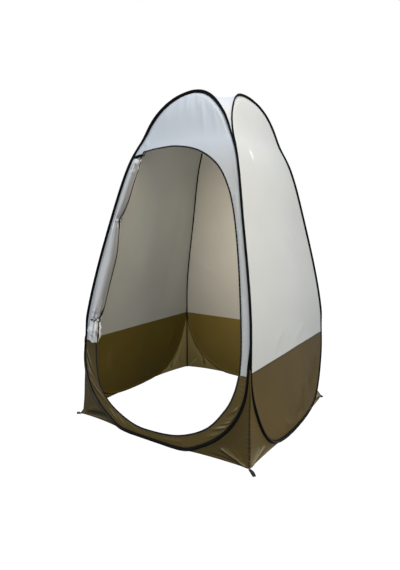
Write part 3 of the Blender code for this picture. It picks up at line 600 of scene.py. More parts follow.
def edge_gathers(off, at, seed, high=0.0009, reach=0.022, length=0.024):
    """Small gathers beside a sewn edge: a wave along it, of uneven length, that dies away over a reach."""
    rng = np.random.default_rng(seed)
    a, b = rng.uniform(0, 2 * math.pi, 2)
    swing = np.sin(2 * math.pi * at / length + 1.9 * np.sin(at * 19 + a) + b)
    swing *= 0.55 + 0.45 * np.sin(at * 7.3 + b)
    return high * swing * np.exp(-off / reach) * rise(off, 0.0, 0.006)


BEHIND_DEEP, BEHIND_REACH = (0.0026, 0.0010), ((0.001, 0.0085), (0.007, 0.015))


def behind_sleeve(off, height):
    """How far a panel lies behind its wall near its edge, where it passes inside the sleeve: two soft
    steps, more at the slack foot, and above the split the slope of the leaning sleeve."""
    full = 1 + 0.5 * (1 - rise(height, *SLACK))
    reach = np.minimum(off + 0.002, 0.0095) * (1 - rise(off, 0.009, 0.024))
    follow = rise(height, *TILT_FROM) * math.tan(TOP_TILT) * reach
    inner, outer = (1 - rise(off, *reach) for reach in BEHIND_REACH)
    return follow + full * (BEHIND_DEEP[0] * inner + BEHIND_DEEP[1] * outer)


WALL_CREASE, WALL_FOLD_LIGHT, WALL_CREASE_POWER = 0.010, 0.16, 1.3
WALL_COLUMNS = {"upper": 68, "lower": 92}
WALL_RIPPLE, RIPPLE_EASE = 0.0016, 0.05
OUTLINE_STEPS = 1300
SEAM_UNDER, SEAM_SHADE_WIDE = 0.002, 0.004
LAP_LIFT, THREAD_DEEP = CLOTH_THICK + 0.0006, 0.0003
STITCH_ROWS, STITCH_ROW_WIDE = (-0.0035, 0.0035), 0.0011
RIGHT_DRAW = ([(0.42, 0.36), (0.36, 0.22), (0.24, 0.08)], -0.012, 0.055)
BACK_DRAWS = [
    ([(-0.33, 1.45), (-0.10, 0.9), (0.05, 0.62)], -0.0050, 0.03),
    ([(0.30, 1.40), (0.16, 0.95), (0.10, 0.70)], 0.0040, 0.02),
    ([(0.50, 0.95), (0.30, 0.80), (0.12, 0.72)], -0.0040, 0.02),
]
LEFT_DRAWS = [
    ([(0.05, 1.6), (0.02, 1.1), (0.10, 0.6)], -0.0050, 0.04),
    ([(-0.26, 1.5), (-0.28, 1.0), (-0.22, 0.6)], 0.0045, 0.025),
    ([(-0.40, 0.42), (-0.38, 0.30), (-0.30, 0.16)], -0.0045, 0.020),
    ([(0.30, 0.44), (0.34, 0.30), (0.30, 0.14)], 0.0040, 0.022),
]
WALL_FOLDS = {
    ("right", "upper"): [
        RIGHT_DRAW,
        ([(0.10, 1.16), (0.14, 1.10), (0.16, 1.04)], 0.0024, 0.010),
        ([(0.05, 1.12), (0.10, 1.07), (0.13, 0.99)], -0.0024, 0.010),
        ([(-0.30, 0.47), (-0.22, 0.56), (-0.10, 0.62)], 0.0030, 0.016),
        ([(0.02, 0.47), (0.10, 0.54), (0.24, 0.60)], 0.0030, 0.018),
    ],
    ("right", "lower"): [
        RIGHT_DRAW,
        ([(0.08, 0.25), (0.15, 0.16), (0.12, 0.08), (-0.06, 0.045)], -0.0080, 0.020),
        ([(0.34, 0.26), (0.28, 0.14), (0.14, 0.045)], -0.0050, 0.016),
        ([(0.22, 0.26), (0.21, 0.15), (0.12, 0.05)], 0.0050, 0.016),
        ([(-0.20, 0.14), (-0.10, 0.06), (0.04, 0.03)], 0.0040, 0.012),
        ([(0.46, 0.30), (0.40, 0.18), (0.30, 0.09)], 0.0050, 0.012),
    ],
    ("back", "upper"): BACK_DRAWS, ("back", "lower"): BACK_DRAWS,
    ("left", "upper"): LEFT_DRAWS, ("left", "lower"): LEFT_DRAWS,
}
WALL_FADES = {"right": (0.4, 0.4), "back": (0.3, 0.5), "left": (0.4, 0.4)}


def wall_cloths(word, side, quarter, seed, far_shade=0.0):
    """Upper and lower cloth in a hoop: rows between its two edges at equal height, columns in equal shares.
    Slow ripples, small gathers beside the sleeve and the stated folds push it off the wall. The folds carry
    painted highlights and painted shade, painted shade can darken the far end, and painted shade lies along
    the top of the lower cloth at the seam."""
    edge = side.panel_edge()[1:]
    outline = spaced(np.vstack([edge[:, ::2], (edge[:, ::2] * [-1, 1])[::-1]]), OUTLINE_STEPS)
    for part in ("upper", "lower"):
        if part == "upper":
            start, rows = SEAM - SEAM_UNDER, edge[edge[:, 2] > SEAM - SEAM_UNDER / 2]
        else:
            start, rows = SEAM + LAP / 2, edge[edge[:, 2] < SEAM + LAP / 2 - 0.001][::-1]
        x = np.interp(start, edge[:, 2], edge[:, 0])
        rows = np.vstack([[x, 0, start], rows])[:-1]
        across = rows[:, :1] * np.linspace(-1, 1, WALL_COLUMNS[part])[None, :]
        height = np.broadcast_to(rows[:, 2:3], across.shape)
        flat = np.stack([across, height], axis=-1)
        off, at = beside(flat.reshape(-1, 2), outline)
        off, at = off.reshape(across.shape), at.reshape(across.shape)
        ease = rise(off, 0.0, RIPPLE_EASE)
        push = ripples(flat, seed, WALL_RIPPLE, 0.25, 0.7) * ease + edge_gathers(off - 0.006, at, seed)
        push -= behind_sleeve(off, height)
        folds = WALL_FOLDS[word, part]
        shaped = sum(fold(flat, line, high, wide, WALL_FADES[word]) for line, high, wide in folds) * ease
        push += shaped
        # Painted highlights on the raised folds and painted shade in the sunk ones.
        painted_light = np.clip(np.sign(shaped) * np.abs(shaped / WALL_CREASE) ** WALL_CREASE_POWER, -1, 1) * WALL_FOLD_LIGHT
        # Painted shade, darker towards the far end of the wall.
        painted_light -= far_shade * rise(across, -0.05, 0.50)
        if part == "lower":
            # Painted shade along the top of the lower cloth, under the lapped seam.
            painted_light -= 0.6 * bell(height - start, SEAM_SHADE_WIDE)
            lap = 1 - rise(SEAM - LAP / 2 - height, 0.0, 0.002)
            rows_of_thread = sum(bell(height - SEAM - k, STITCH_ROW_WIDE) for k in STITCH_ROWS)
            push = push + lap * LAP_LIFT - THREAD_DEEP * rows_of_thread
        grid = side.place(flat, push)
        slope = np.gradient(side.y(rows[:, 2]), rows[:, 2])
        down = np.concatenate([[0.0], np.cumsum(np.hypot(1, slope[1:]) * np.abs(np.diff(rows[:, 2])))])
        sewn = start + np.sign(rows[-1, 2] - start) * down
        flat = np.stack([across, np.broadcast_to(sewn[:, None], across.shape)], axis=-1)
        inside = (SUNLIT_INSIDES if word == "back" else SHADED_INSIDES)[part]
        made = cloth(f"{word}_{part}_cloth", turned(grid, quarter), flat, OUTSIDES[part], inside, painted_light=painted_light)
        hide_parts(f"{word}_{part}_panel")


wall_cloths("right", BESIDE, 1, 3, far_shade=0.14)
wall_cloths("back", FRONT, 2, 5)
wall_cloths("left", BESIDE, 3, 8)


# Front wall. One grey cloth makes the header and the two jambs round the arched doorway, and a brown sill
# closes it below. The doorway edge is turned in and topstitched beside the zip, which leaves a raised welt
# along it.
DOOR_ARCH = [
    (0.495, 0.465), (0.492, 0.577), (0.472, 0.734), (0.428, 0.999), (0.377, 1.217), (0.319, 1.366),
    (0.236, 1.479), (0.108, 1.558), (-0.040, 1.590), (-0.170, 1.586), (-0.262, 1.573),
]
DOOR_LEFT = [
    (-0.262, 1.573), (-0.300, 1.458), (-0.350, 1.207), (-0.398, 0.942), (-0.433, 0.734), (-0.453, 0.465),
]
DOOR_SILL = [
    (0.495, 0.465), (0.476, 0.365), (0.434, 0.271), (0.336, 0.155), (0.179, 0.080), (0.0, 0.057),
    (-0.138, 0.067), (-0.292, 0.128), (-0.391, 0.217), (-0.433, 0.330), (-0.453, 0.465),
]
ZIP_WIDE = 0.009
LEFT_SHARE = 0.4


def through(points, steps):
    """Catmull-Rom curve through the points, evenly spaced: each span b + (c - a)t/2 + ... is a cubic."""
    points = np.array(points, float)
    ends = np.vstack([2 * points[0] - points[1], points, 2 * points[-1] - points[-2]])
    wide = points.shape[1]
    t = np.linspace(0, 1, 30, endpoint=False)[None, :, None]
    a, b, c, d = (ends[k : len(ends) - 3 + k, None] for k in range(4))
    spans = b + 0.5 * ((c - a) * t + (2 * a - 5 * b + 4 * c - d) * t**2 + (3 * b - a - 3 * c + d) * t**3)
    return spaced(np.vstack([spans.reshape(-1, wide), points[-1:]]), steps)


def pushed(curve, off):
    """A flat curve moved to its right by off, mitred at each point."""
    ahead = unit(np.diff(curve, axis=0))
    right = np.stack([ahead[:, 1], -ahead[:, 0]], axis=1)
    before, after = np.vstack([right[:1], right]), np.vstack([right, right[-1:]])
    mean = unit(before + after)
    return curve + mean * (off / np.maximum((mean * before).sum(axis=1), 0.5))[:, None]


def doorway(part, count, off):
    """Edge of the doorway moved outwards: over the arch and down the left side, or along the sill."""
    if part == "upper":
        down = int(count * LEFT_SHARE)
        return pushed(np.vstack([through(DOOR_ARCH, count + 1 - down)[:-1], through(DOOR_LEFT, down)]), off)
    return pushed(through(DOOR_SILL, count)[::-1], off)


# The front cloth is a cooler, darker copy of the wall grey, which paints the cool light on it, and below 1.40
# to 1.64 m it turns darker and warmer as painted shade.
FRONT_GREY = fabric("front grey cloth", (0.560, 0.582, 0.600), (0.605, 0.628, 0.646), 0.50, crease=0.0003,
                    sheen=0.1, lower_shade=(1.40, 1.64, (0.87, 0.82, 0.745)))
HEADER_FOLDS = [
    ([(-0.075, 1.892), (-0.058, 1.80), (-0.050, 1.70)], 0.0016, 0.014),
    ([(-0.030, 1.893), (-0.014, 1.83), (-0.004, 1.745)], 0.0038, 0.009),
    ([(0.004, 1.893), (0.022, 1.80), (0.036, 1.68)], 0.0022, 0.012),
    ([(0.038, 1.888), (0.058, 1.83), (0.078, 1.765)], 0.0036, 0.008),
    ([(0.066, 1.880), (0.100, 1.77), (0.135, 1.61)], 0.0040, 0.011),
    ([(0.094, 1.870), (0.126, 1.81), (0.150, 1.75)], 0.0028, 0.008),
    ([(0.128, 1.852), (0.178, 1.75), (0.226, 1.60)], 0.0032, 0.012),
    ([(0.165, 1.822), (0.196, 1.77), (0.220, 1.71)], 0.0030, 0.008),
    ([(0.196, 1.790), (0.236, 1.70), (0.262, 1.62)], 0.0022, 0.010),
    ([(-0.15, 1.862), (-0.14, 1.78), (-0.125, 1.66)], 0.0018, 0.016),
    ([(-0.262, 1.640), (-0.255, 1.620), (-0.246, 1.596)], 0.0040, 0.008),
    ([(0.34, 1.52), (0.36, 1.44), (0.39, 1.34)], 0.0035, 0.007),
    ([(0.372, 1.33), (0.392, 1.25), (0.405, 1.15)], 0.0035, 0.007),
    ([(0.42, 1.15), (0.43, 1.06), (0.455, 0.96)], 0.0040, 0.007),
    ([(0.452, 0.98), (0.462, 0.90), (0.480, 0.80)], 0.0035, 0.006),
    ([(0.475, 0.82), (0.490, 0.74), (0.505, 0.62)], 0.0040, 0.007),
    ([(0.500, 0.66), (0.503, 0.58), (0.515, 0.49)], 0.0035, 0.006),
]
SILL_FOLDS = [
    ([(0.540, 0.330), (0.486, 0.280), (0.440, 0.246)], 0.0042, 0.0040),
    ([(0.534, 0.300), (0.480, 0.256), (0.432, 0.226)], -0.0030, 0.0050),
    ([(0.528, 0.272), (0.470, 0.234), (0.425, 0.212)], 0.0034, 0.0036),
    ([(0.500, 0.238), (0.442, 0.206), (0.398, 0.186)], 0.0044, 0.0040),
    ([(0.495, 0.220), (0.436, 0.196), (0.384, 0.170)], -0.0032, 0.0045),
    ([(0.485, 0.205), (0.428, 0.184), (0.372, 0.160), (0.340, 0.140)], 0.0048, 0.0040),
    ([(0.455, 0.178), (0.400, 0.158), (0.345, 0.132)], -0.0034, 0.0055),
    ([(0.445, 0.160), (0.380, 0.132), (0.310, 0.100)], 0.0032, 0.0040),
    ([(0.20, 0.050), (0.10, 0.036), (0.02, 0.030)], 0.0020, 0.0050),
    ([(-0.545, 0.455), (-0.512, 0.385), (-0.476, 0.318), (-0.430, 0.265), (-0.400, 0.215)], 0.0050, 0.0044),
    ([(-0.540, 0.420), (-0.498, 0.330), (-0.450, 0.262), (-0.410, 0.215)], -0.0044, 0.0055),
    ([(-0.536, 0.385), (-0.486, 0.292), (-0.436, 0.232), (-0.392, 0.190)], 0.0048, 0.0040),
    ([(-0.530, 0.335), (-0.471, 0.252), (-0.403, 0.198), (-0.350, 0.164)], 0.0050, 0.0042),
    ([(-0.520, 0.305), (-0.446, 0.226), (-0.380, 0.178)], -0.0042, 0.0050),
    ([(-0.508, 0.268), (-0.412, 0.190), (-0.366, 0.160), (-0.300, 0.108), (-0.268, 0.076)], 0.0046, 0.0040),
    ([(-0.480, 0.222), (-0.400, 0.158), (-0.330, 0.108)], -0.0036, 0.0050),
    ([(-0.312, 0.106), (-0.244, 0.058), (-0.205, 0.025)], 0.0040, 0.0040),
    ([(-0.255, 0.090), (-0.196, 0.045), (-0.150, 0.022)], 0.0036, 0.0040),
    ([(-0.18, 0.060), (-0.11, 0.034), (-0.05, 0.026)], 0.0022, 0.0045),
]
FULL_CREASE, FOLD_LIGHT, CREASE_POWER = 0.0045, 0.80, 3.4
RIGHT_SEAM = SEAM - 0.015
FRONT_FADE = (0.04, 0.6)
COLUMN_POWER = 1.15
WELT_OFF, WELT_WIDE, WELT_HIGH = 0.0045, 0.0022, 0.0010


def painted_fold_light(raised, high):
    """Painted light of a fold: a painted highlight on a raised fold and painted shade in a sunk one, (height
    / full crease) ^ power.
    """
    return np.sign(high) * (np.abs(raised) / FULL_CREASE) ** CREASE_POWER * FOLD_LIGHT


def front_cloths():
    """Upper and lower front cloth: rows run along the hoop, columns from the hoop to the doorway, closer
    together at the hoop. The seam between them steps down from the left jamb to the right one."""
    edge = FRONT.panel_edge()
    for part, count, columns, folds in (("upper", 540, 42, HEADER_FOLDS), ("lower", 504, 72, SILL_FOLDS)):
        if part == "upper":
            levels = SEAM - SEAM_UNDER, RIGHT_SEAM - SEAM_UNDER
            left, right = (edge[edge[:, 2] > level + SEAM_UNDER / 2] for level in levels)
            outer = np.vstack([right, (left * [-1, 1, 1])[-2::-1]])
            ends = levels[::-1]
        else:
            levels = SEAM + LAP / 2, RIGHT_SEAM + LAP / 2
            left, right = (edge[edge[:, 2] < level][1:] for level in levels)
            outer = np.vstack([(left * [-1, 1, 1])[::-1], right])
            ends = levels
        outer = spaced(outer[:, ::2], count)
        inner = doorway(part, count, ZIP_WIDE - 0.002)
        if part == "lower":
            inner = spaced(inner[(inner[:, 0] < 0) | (inner[:, 1] < levels[1])], count)
        for line in (outer, inner):
            line[[0, -1], 1] = ends
        level = levels[0] + (levels[1] - levels[0]) * rise(np.linspace(-1, 1, count)[:, None], -0.2, 0.2)
        share = (np.linspace(0, 1, columns) ** COLUMN_POWER)[None, :, None]
        flat = outer[:, None] * (1 - share) + inner[:, None] * share
        across, height = flat[..., 0], flat[..., 1]
        (hoop_off, hoop_at), (door_off, door_at) = (
            [v.reshape(across.shape) for v in beside(flat.reshape(-1, 2), spaced(line, OUTLINE_STEPS))]
            for line in (outer, inner))
        ease = rise(hoop_off, 0.008, 0.020) * rise(door_off, 0.0, 0.010)
        push = ripples(flat, 13, 0.0012, 0.2, 0.6) * rise(np.minimum(hoop_off, door_off), 0, 0.05)
        gathers = edge_gathers(hoop_off - 0.006, hoop_at, 14)
        push += gathers + edge_gathers(door_off, door_at, 15, 0.0006, 0.012, 0.019)
        push -= behind_sleeve(hoop_off, height)
        painted_light = np.zeros(across.shape)
        if part == "lower":
            # Painted shade along the seam and over the left part of the sill.
            painted_light -= 0.7 * bell(height - level, SEAM_SHADE_WIDE) + 0.26 * rise(-across, 0.20, 0.48)
        # The folds carry painted highlights on their ridges and painted shade in their hollows.
        for line, high, wide in folds:
            raised = fold(flat, line, high, wide, FRONT_FADE) * ease
            push += raised
            painted_light += painted_fold_light(raised, high)
        push += WELT_HIGH * bell(door_off - WELT_OFF, WELT_WIDE)
        if part == "lower":
            push += (1 - rise(level - LAP - height, 0.0, 0.002)) * LAP_LIFT
        outside = FRONT_GREY if part == "upper" else BROWN
        made = cloth(f"front_{part}_cloth", FRONT.place(flat, push), flat, outside, SHADED_INSIDES[part],
                     painted_light=np.clip(painted_light, -1, 1))
        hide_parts(f"front_{part}_panel")
        yield made


header, sill = front_cloths()


# Roof. A square of thin white cloth with curved sides, sewn to the backs of the four sleeve tops. It is
# straight from hoop to hoop across each corner and hangs a little in the middle, like a film between the
# four arches.
ROOF_STATIONS = round(STATIONS * 9 / 46)
ROOF_FIRST = STATIONS + 1 - ROOF_STATIONS
ROOF_SAG = 0.032
ROOF_CORNER_SHARE = 0.45
ROOF_MARGIN, ROOF_WAVE = 0.0008, 0.0007
SETTLING_ROUNDS = 2500
HEM_ROWS = 6.0
WHITE = fabric("thin white roof cloth", (0.57, 0.567, 0.580), (0.64, 0.637, 0.650), 0.5, cloud=5.0,
               crease=0.0004, crease_scale=14.0)
WHITE_INSIDE = fabric("white cloth inside", (0.55, 0.55, 0.56), (0.60, 0.60, 0.61), 0.55, cloud=5.0,
                      crease=0.0004, crease_scale=14.0)


def roof_arc(side, target, quarter):
    """Half of a roof edge along a hoop: the sleeve's own line moved square to it towards the other hoop."""
    line, out, inward = (part[ROOF_FIRST : STATIONS + 1] for part in (side.line, side.out, side.inward))
    if quarter:
        line, out, inward = (turned(part * [-1, 1, 1], quarter) for part in (line, out, inward))
    tangent = unit(np.gradient(line, axis=0))
    towards = target - line
    towards = unit(towards - (towards * tangent).sum(axis=1)[:, None] * tangent)
    wide = (towards * inward).sum(axis=1) * side.wide[ROOF_FIRST : STATIONS + 1]
    deep = (towards * out).sum(axis=1) * SLEEVE_DEEP
    return line + towards * (np.hypot(wide, deep) - ROOF_MARGIN)[:, None]


def roof():
    """Ruled corners and a settled middle, where each point is the mean of its four neighbours. A hemmed
    edge lies flat, and inside it the cloth has faint waves."""
    ahead = FRONT.line[ROOF_FIRST : STATIONS + 1]
    aside = turned(BESIDE.line[ROOF_FIRST : STATIONS + 1] * [-1, 1, 1], 1)
    front_half, side_half = roof_arc(FRONT, aside, 0), roof_arc(BESIDE, ahead, 1)
    corner = front_half[0] * ROOF_CORNER_SHARE + side_half[0] * (1 - ROOF_CORNER_SHARE)
    front_half[0] = side_half[0] = corner
    front_half[-1, 0] = side_half[-1, 1] = 0.0
    front_edge = np.vstack([front_half * [-1, 1, 1], front_half[-2::-1]])
    right_edge = np.vstack([side_half, (side_half * [1, -1, 1])[-2::-1]])
    count = len(front_edge)
    middle = count // 2
    i, j = np.meshgrid(np.arange(count), np.arange(count), indexing="ij")
    up_i, up_j = np.minimum(i, count - 1 - i), np.minimum(j, count - 1 - j)
    ring = up_i + up_j
    k = np.minimum(ring, middle)
    near = front_edge[np.where(j <= middle, k, count - 1 - k)]
    near[..., 1] *= np.where(i <= middle, 1, -1)
    far = right_edge[np.where(i <= middle, k, count - 1 - k)]
    far[..., 0] *= np.where(j <= middle, -1, 1)
    share = (up_i / np.maximum(k, 1))[..., None]
    grid = near + (far - near) * share
    grid[..., 2] -= ROOF_SAG * (k / middle) ** 2 * 4 * share[..., 0] * (1 - share[..., 0])
    inner = ring > middle
    inner[[0, -1]] = inner[:, [0, -1]] = False
    grid[0], grid[-1] = front_edge, front_edge * [1, -1, 1]
    grid[:, -1], grid[:, 0] = right_edge, right_edge * [-1, 1, 1]
    grid[inner] = [0, 0, HEIGHT - ROOF_SAG]
    for _ in range(SETTLING_ROUNDS):
        mean = (np.roll(grid, 1, 0) + np.roll(grid, -1, 0) + np.roll(grid, 1, 1) + np.roll(grid, -1, 1)) / 4
        grid[inner] = mean[inner]
    x, y = grid[..., 0], grid[..., 1]
    wave = np.sin(x * 60 + 2.0 * np.sin(y * 17)) + np.sin((x + y) * 43 + 1.0) + np.sin((x - y) * 51 + 2.0)
    grid[..., 2] += ROOF_WAVE * wave * np.clip(np.minimum(up_i, up_j) / HEM_ROWS, 0, 1)
    return grid


grid = roof()
made = cloth("roof_cloth", grid, grid[..., :2].copy(), WHITE, WHITE_INSIDE)
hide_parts("roof_panel")


# Corner gussets. Below the split of two hoops a brown cloth of two triangles fills the corner and reaches a
# point on the ground. Its seam stands in the corner, drawn up by the thread so that it puckers, and is
# bound on the inside.
GUSSET_TOP = 0.49
GUSSET_START = 0.009
GUSSET_TUCK = 0.004
GUSSET_ROWS, GUSSET_HALF = 120, 36
GUSSET_COLUMN_POWER = 1.5
FOOT_HEIGHT, GUSSET_LOWEST = 0.0016, 0.0006
GATHER_LONG, GATHER_HIGH, GATHER_REACH = 0.019, 0.0024, 0.0085
PUCKER_SHADE, PUCKER_SHADE_WIDE = 1.4, 0.0062
RIDGE_HIGH, RIDGE_WIDE = 0.0016, 0.0028
CORNER_IN, CORNER_ACROSS = (unit(np.array([x, 1.0, 0.0])) for x in (-1.0, 1.0))
SEAM_OUT = unit(np.array([1.0, -1.0, 0.15]))
GUSSET_SEED = 21
# One row a gusset: its name, the mirror from the front right corner, its foot there, how slack its seam
# hangs and over what last share it comes out again, the lift of its hem, the painted light on its two faces
# and its tip (a painted highlight above 0, painted shade below 0), and its folds.
GUSSETS = (
    ("front_right", (1, 1, 1), (0.577, -0.566), 0.002, 0.3, 0.007, (-0.36, 0.05, 1.3), [
        ([(-0.64, 0.79), (-0.42, 0.868), (-0.20, 0.940), (-0.01, 0.996)], 0.0062, 0.009),
        ([(-0.58, 0.855), (-0.36, 0.912), (-0.14, 0.968)], -0.0052, 0.011),
        ([(-0.70, 0.93), (-0.34, 0.962), (-0.06, 0.994)], -0.0046, 0.009),
        ([(-0.52, 0.80), (-0.30, 0.885), (-0.12, 0.955)], 0.0040, 0.007),
        ([(-0.40, 0.78), (-0.22, 0.875), (-0.08, 0.955)], 0.0030, 0.006),
        ([(0.56, 0.80), (0.28, 0.905), (0.03, 0.996)], 0.0060, 0.012),
        ([(0.36, 0.80), (0.17, 0.90), (0.02, 0.985)], 0.0050, 0.010),
        ([(0.46, 0.80), (0.22, 0.905), (0.03, 0.985)], -0.0038, 0.008),
        ([(0.72, 0.90), (0.38, 0.955), (0.08, 0.990)], -0.0036, 0.012),
    ]),
    ("back_right", (1, -1, 1), (0.573, -0.556), 0.032, 0.13, 0.004, (0.0, 0.30, 0.6), [
        ([(0.95, 0.84), (0.50, 0.925), (0.03, 0.995)], -0.0066, 0.016),
        ([(0.80, 0.80), (0.35, 0.900), (0.10, 0.960)], 0.0040, 0.020),
        ([(0.80, 0.93), (0.35, 0.965), (0.10, 0.985)], 0.0040, 0.014),
    ]),
    ("back_left", (-1, -1, 1), (0.557, -0.573), 0.004, 0.2, 0.006, (0.55, 0.90, 0.0), [
        ([(-0.88, 0.15), (-0.86, 0.45), (-0.77, 0.72), (-0.52, 0.93)], -0.0050, 0.018),
        ([(-0.80, 0.18), (-0.77, 0.48), (-0.66, 0.74), (-0.44, 0.93)], 0.0044, 0.014),
        ([(0.88, 0.15), (0.86, 0.45), (0.77, 0.72), (0.52, 0.93)], -0.0052, 0.018),
        ([(0.80, 0.18), (0.76, 0.48), (0.64, 0.74), (0.42, 0.93)], 0.0046, 0.014),
        ([(0.50, 0.45), (0.44, 0.70), (0.20, 0.92)], -0.0036, 0.020),
        ([(0.62, 0.60), (0.50, 0.80), (0.24, 0.95)], 0.0030, 0.014),
        ([(-0.40, 0.78), (-0.22, 0.89), (-0.06, 0.98)], 0.0042, 0.014),
        ([(0.35, 0.82), (0.20, 0.91), (0.06, 0.98)], 0.0042, 0.014),
    ]),
    ("front_left", (-1, 1, 1), (0.574, -0.572), 0.015, 0.06, 0.008, (-0.34, 0.0, 0.0), [
        ([(-0.86, 0.84), (-0.50, 0.905), (-0.05, 0.985)], -0.0075, 0.020),
        ([(-0.80, 0.93), (-0.45, 0.962), (-0.05, 0.995)], 0.0042, 0.012),
        ([(-0.80, 0.76), (-0.40, 0.84), (-0.14, 0.93)], 0.0034, 0.014),
        ([(0.45, 0.80), (0.10, 0.97)], 0.003, 0.02),
    ]),
)


def gusset_edge(side):
    """Outer edge of a hoop from the split down to the ground, as evenly spaced points."""
    edge = side.edge(-1.0, GUSSET_TUCK)[int(STATIONS * 2 / 46) :]
    keep = (edge[:, 2] > GUSSET_START) & (edge[:, 2] < GUSSET_TOP)
    return spaced(edge[keep][::-1], GUSSET_ROWS)


def gusset_grid(foot, slack, flare):
    """Rows of a front right gusset: hoop edge, straight to the seam, straight to the other hoop edge. A
    slack seam falls inwards below the split and comes out again over the flare at the ground."""
    a, b = gusset_edge(FRONT), turned(gusset_edge(BESIDE) * [-1, 1, 1], 1)
    drop = np.linspace(0, 1, GUSSET_ROWS)[:, None]
    start = np.array([max(a[0, 0], b[0, 0]), min(a[0, 1], b[0, 1]), GUSSET_TOP])
    seam = start + (np.array([*foot, FOOT_HEIGHT]) - start) * drop
    seam += CORNER_IN * slack * rise(drop, 0.0, 0.55) * (1 - rise(drop, 1 - flare, 1.0))
    t = (1 - (1 - np.linspace(0, 1, GUSSET_HALF)) ** GUSSET_COLUMN_POWER)[None, :, None]
    left = a[:, None] + (seam - a)[:, None] * t
    right = b[:, None] + (seam - b)[:, None] * t[:, -2::-1]
    return np.concatenate([left, right], axis=1), seam


def gusset_cloth(word, mirror, foot, slack, flare, hem, pale, folds, seed):
    """One gusset: the folds run along stated lines of (across, drop), the hem is drawn up between its ends,
    the seam stands up as a ridge, and the cloth gathers beside it in waves that die away."""
    grid, seam = gusset_grid(foot, slack, flare)
    normal = unit(np.cross(np.gradient(grid, axis=1), np.gradient(grid, axis=0)))
    normal *= np.sign((normal * (grid - [0, 0, HEIGHT / 2])).sum(axis=-1))[..., None]
    off = np.linalg.norm(grid - seam[:, None], axis=-1)
    wide = off[:, [0, -1]].max(axis=1)[:, None]
    along = arc(seam)[:, None]
    drop = along / along[-1]
    a, b, c = np.random.default_rng(seed).uniform(0, 2 * math.pi, 3)
    swing = np.sin(2 * math.pi * along / GATHER_LONG + 1.7 * np.sin(along * 31 + a) + b)
    swing = swing + 0.5 * np.sin(along * 160 + c)
    half = np.linspace(-1, 1, grid.shape[1])[None, :]
    half = np.sign(half) * np.abs(half) ** GUSSET_COLUMN_POWER
    within = 1 - np.abs(half)
    start = rise(along, 0.0, 0.03)
    drawn = rise(drop, 0.08, 0.40)
    gather = GATHER_HIGH * swing * np.exp(-off / GATHER_REACH)
    gather = gather * np.minimum(1, off / 0.004) * np.minimum(1, wide / 0.02) * drawn
    push = gather + np.sin(along * 23 + half * 3 + a) * 0.0014 * within
    tip = rise(drop, 0.72, 0.98)
    # Painted shade along the seam, in dashes that fall in the hollows of its puckers.
    dots = 1 - (0.35 + 0.75 * tip) * np.clip(1.4 * swing, 0, 1)
    painted_light = -PUCKER_SHADE * bell(off, PUCKER_SHADE_WIDE) * dots * drawn
    # Painted light on the two faces, painted shade where it is below 0, and a painted highlight on the tip.
    painted_light = painted_light + np.where(half < 0, *pale[:2]) * rise(within, 0.0, 0.25)
    painted_light = painted_light + np.where(half < 0, 0.10, 0.30) * tip * pale[2]
    place = np.stack(np.broadcast_arrays(half, drop), axis=-1)
    # The folds carry painted highlights on their ridges and painted shade in their hollows.
    for line, high, broad in folds:
        raised = fold(place, line, high, broad, (0.2, 0.12))
        push = push + raised
        painted_light = painted_light + painted_fold_light(raised, high)
    grid[..., 2] += hem * 4 * np.abs(half) * within * rise(drop, 0.55, 1.0)
    grid = grid + normal * (push * rise(within, 0.0, 0.12) * start)[..., None]
    ridge = RIDGE_HIGH * bell(off, RIDGE_WIDE) * (1 + 0.15 * swing * drawn)
    grid = grid + SEAM_OUT * (ridge * start)[..., None]
    grid[..., 2] = np.maximum(grid[..., 2], GUSSET_LOWEST)
    flat = np.stack(np.broadcast_arrays(half * wide, along), axis=-1)
    made = cloth(f"{word}_gusset_cloth", grid * mirror, flat, BROWN, BROWN_INSIDE, painted_light=np.clip(painted_light, -1, 1))
    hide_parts(f"{word}_gusset")
    return seam


def strap(name, path, wide_way, thick_way, wide, thick, finish, round_rows=False, sides=12):
    """Strap along a path: its section is a rounded rectangle, |across|^4 + |deep|^4 = 1, in two ways."""
    a = np.arange(sides) * 2 * math.pi / sides + math.pi / sides
    c, s = np.cos(a), np.sin(a)
    c, s = np.sign(c) * np.abs(c) ** 0.5, np.sign(s) * np.abs(s) ** 0.5
    wide, thick = (np.broadcast_to(np.asarray(v, float), len(path))[:, None, None] for v in (wide, thick))
    wide_way, thick_way = (np.broadcast_to(v, path.shape)[:, None] for v in (wide_way, thick_way))
    rings = path[:, None] + wide_way * wide / 2 * c[None, :, None] + thick_way * thick / 2 * s[None, :, None]
    along = arc(np.vstack([path, path[:1]]))
    if not round_rows:
        along = along[:-1]
    mean = float(wide.mean())
    across = np.append(c, c[0]) * mean / 2
    return tube(name, rings, map_of(along, across), finish, round_rows=round_rows)


BINDING_TOP, BINDING_WIDE, BINDING_THICK = 0.40, 0.008, 0.002
BINDING_BACK = 0.003 + BINDING_WIDE / 2 + 0.0003
BINDING_STATIONS, BINDING_SWING, BINDING_WAVE = 90, 0.0006, 0.03
BINDING_BLACK = fabric("black seam binding", (0.006, 0.006, 0.0055), (0.016, 0.015, 0.013), 0.6, 0.0006,
                       0.00005, cloud=60.0, shine=0.15)
for number, (word, mirror, foot, *shape) in enumerate(GUSSETS):
    seam = gusset_cloth(word, mirror, foot, *shape, GUSSET_SEED + number)
    low = spaced(seam[seam[:, 2] < BINDING_TOP], BINDING_STATIONS)
    swing = BINDING_SWING * np.sin(arc(low) * 2 * math.pi / BINDING_WAVE + number)
    path = low + CORNER_IN * (BINDING_BACK + swing)[:, None]
    path[:, 2] = np.maximum(path[:, 2], BINDING_THICK / 2)
    made = strap(f"{word}_seam_binding", path * mirror, CORNER_ACROSS * mirror, CORNER_IN * mirror,
                 BINDING_WIDE, BINDING_THICK, BINDING_BLACK)
    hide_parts(f"{word}_corner_binding")


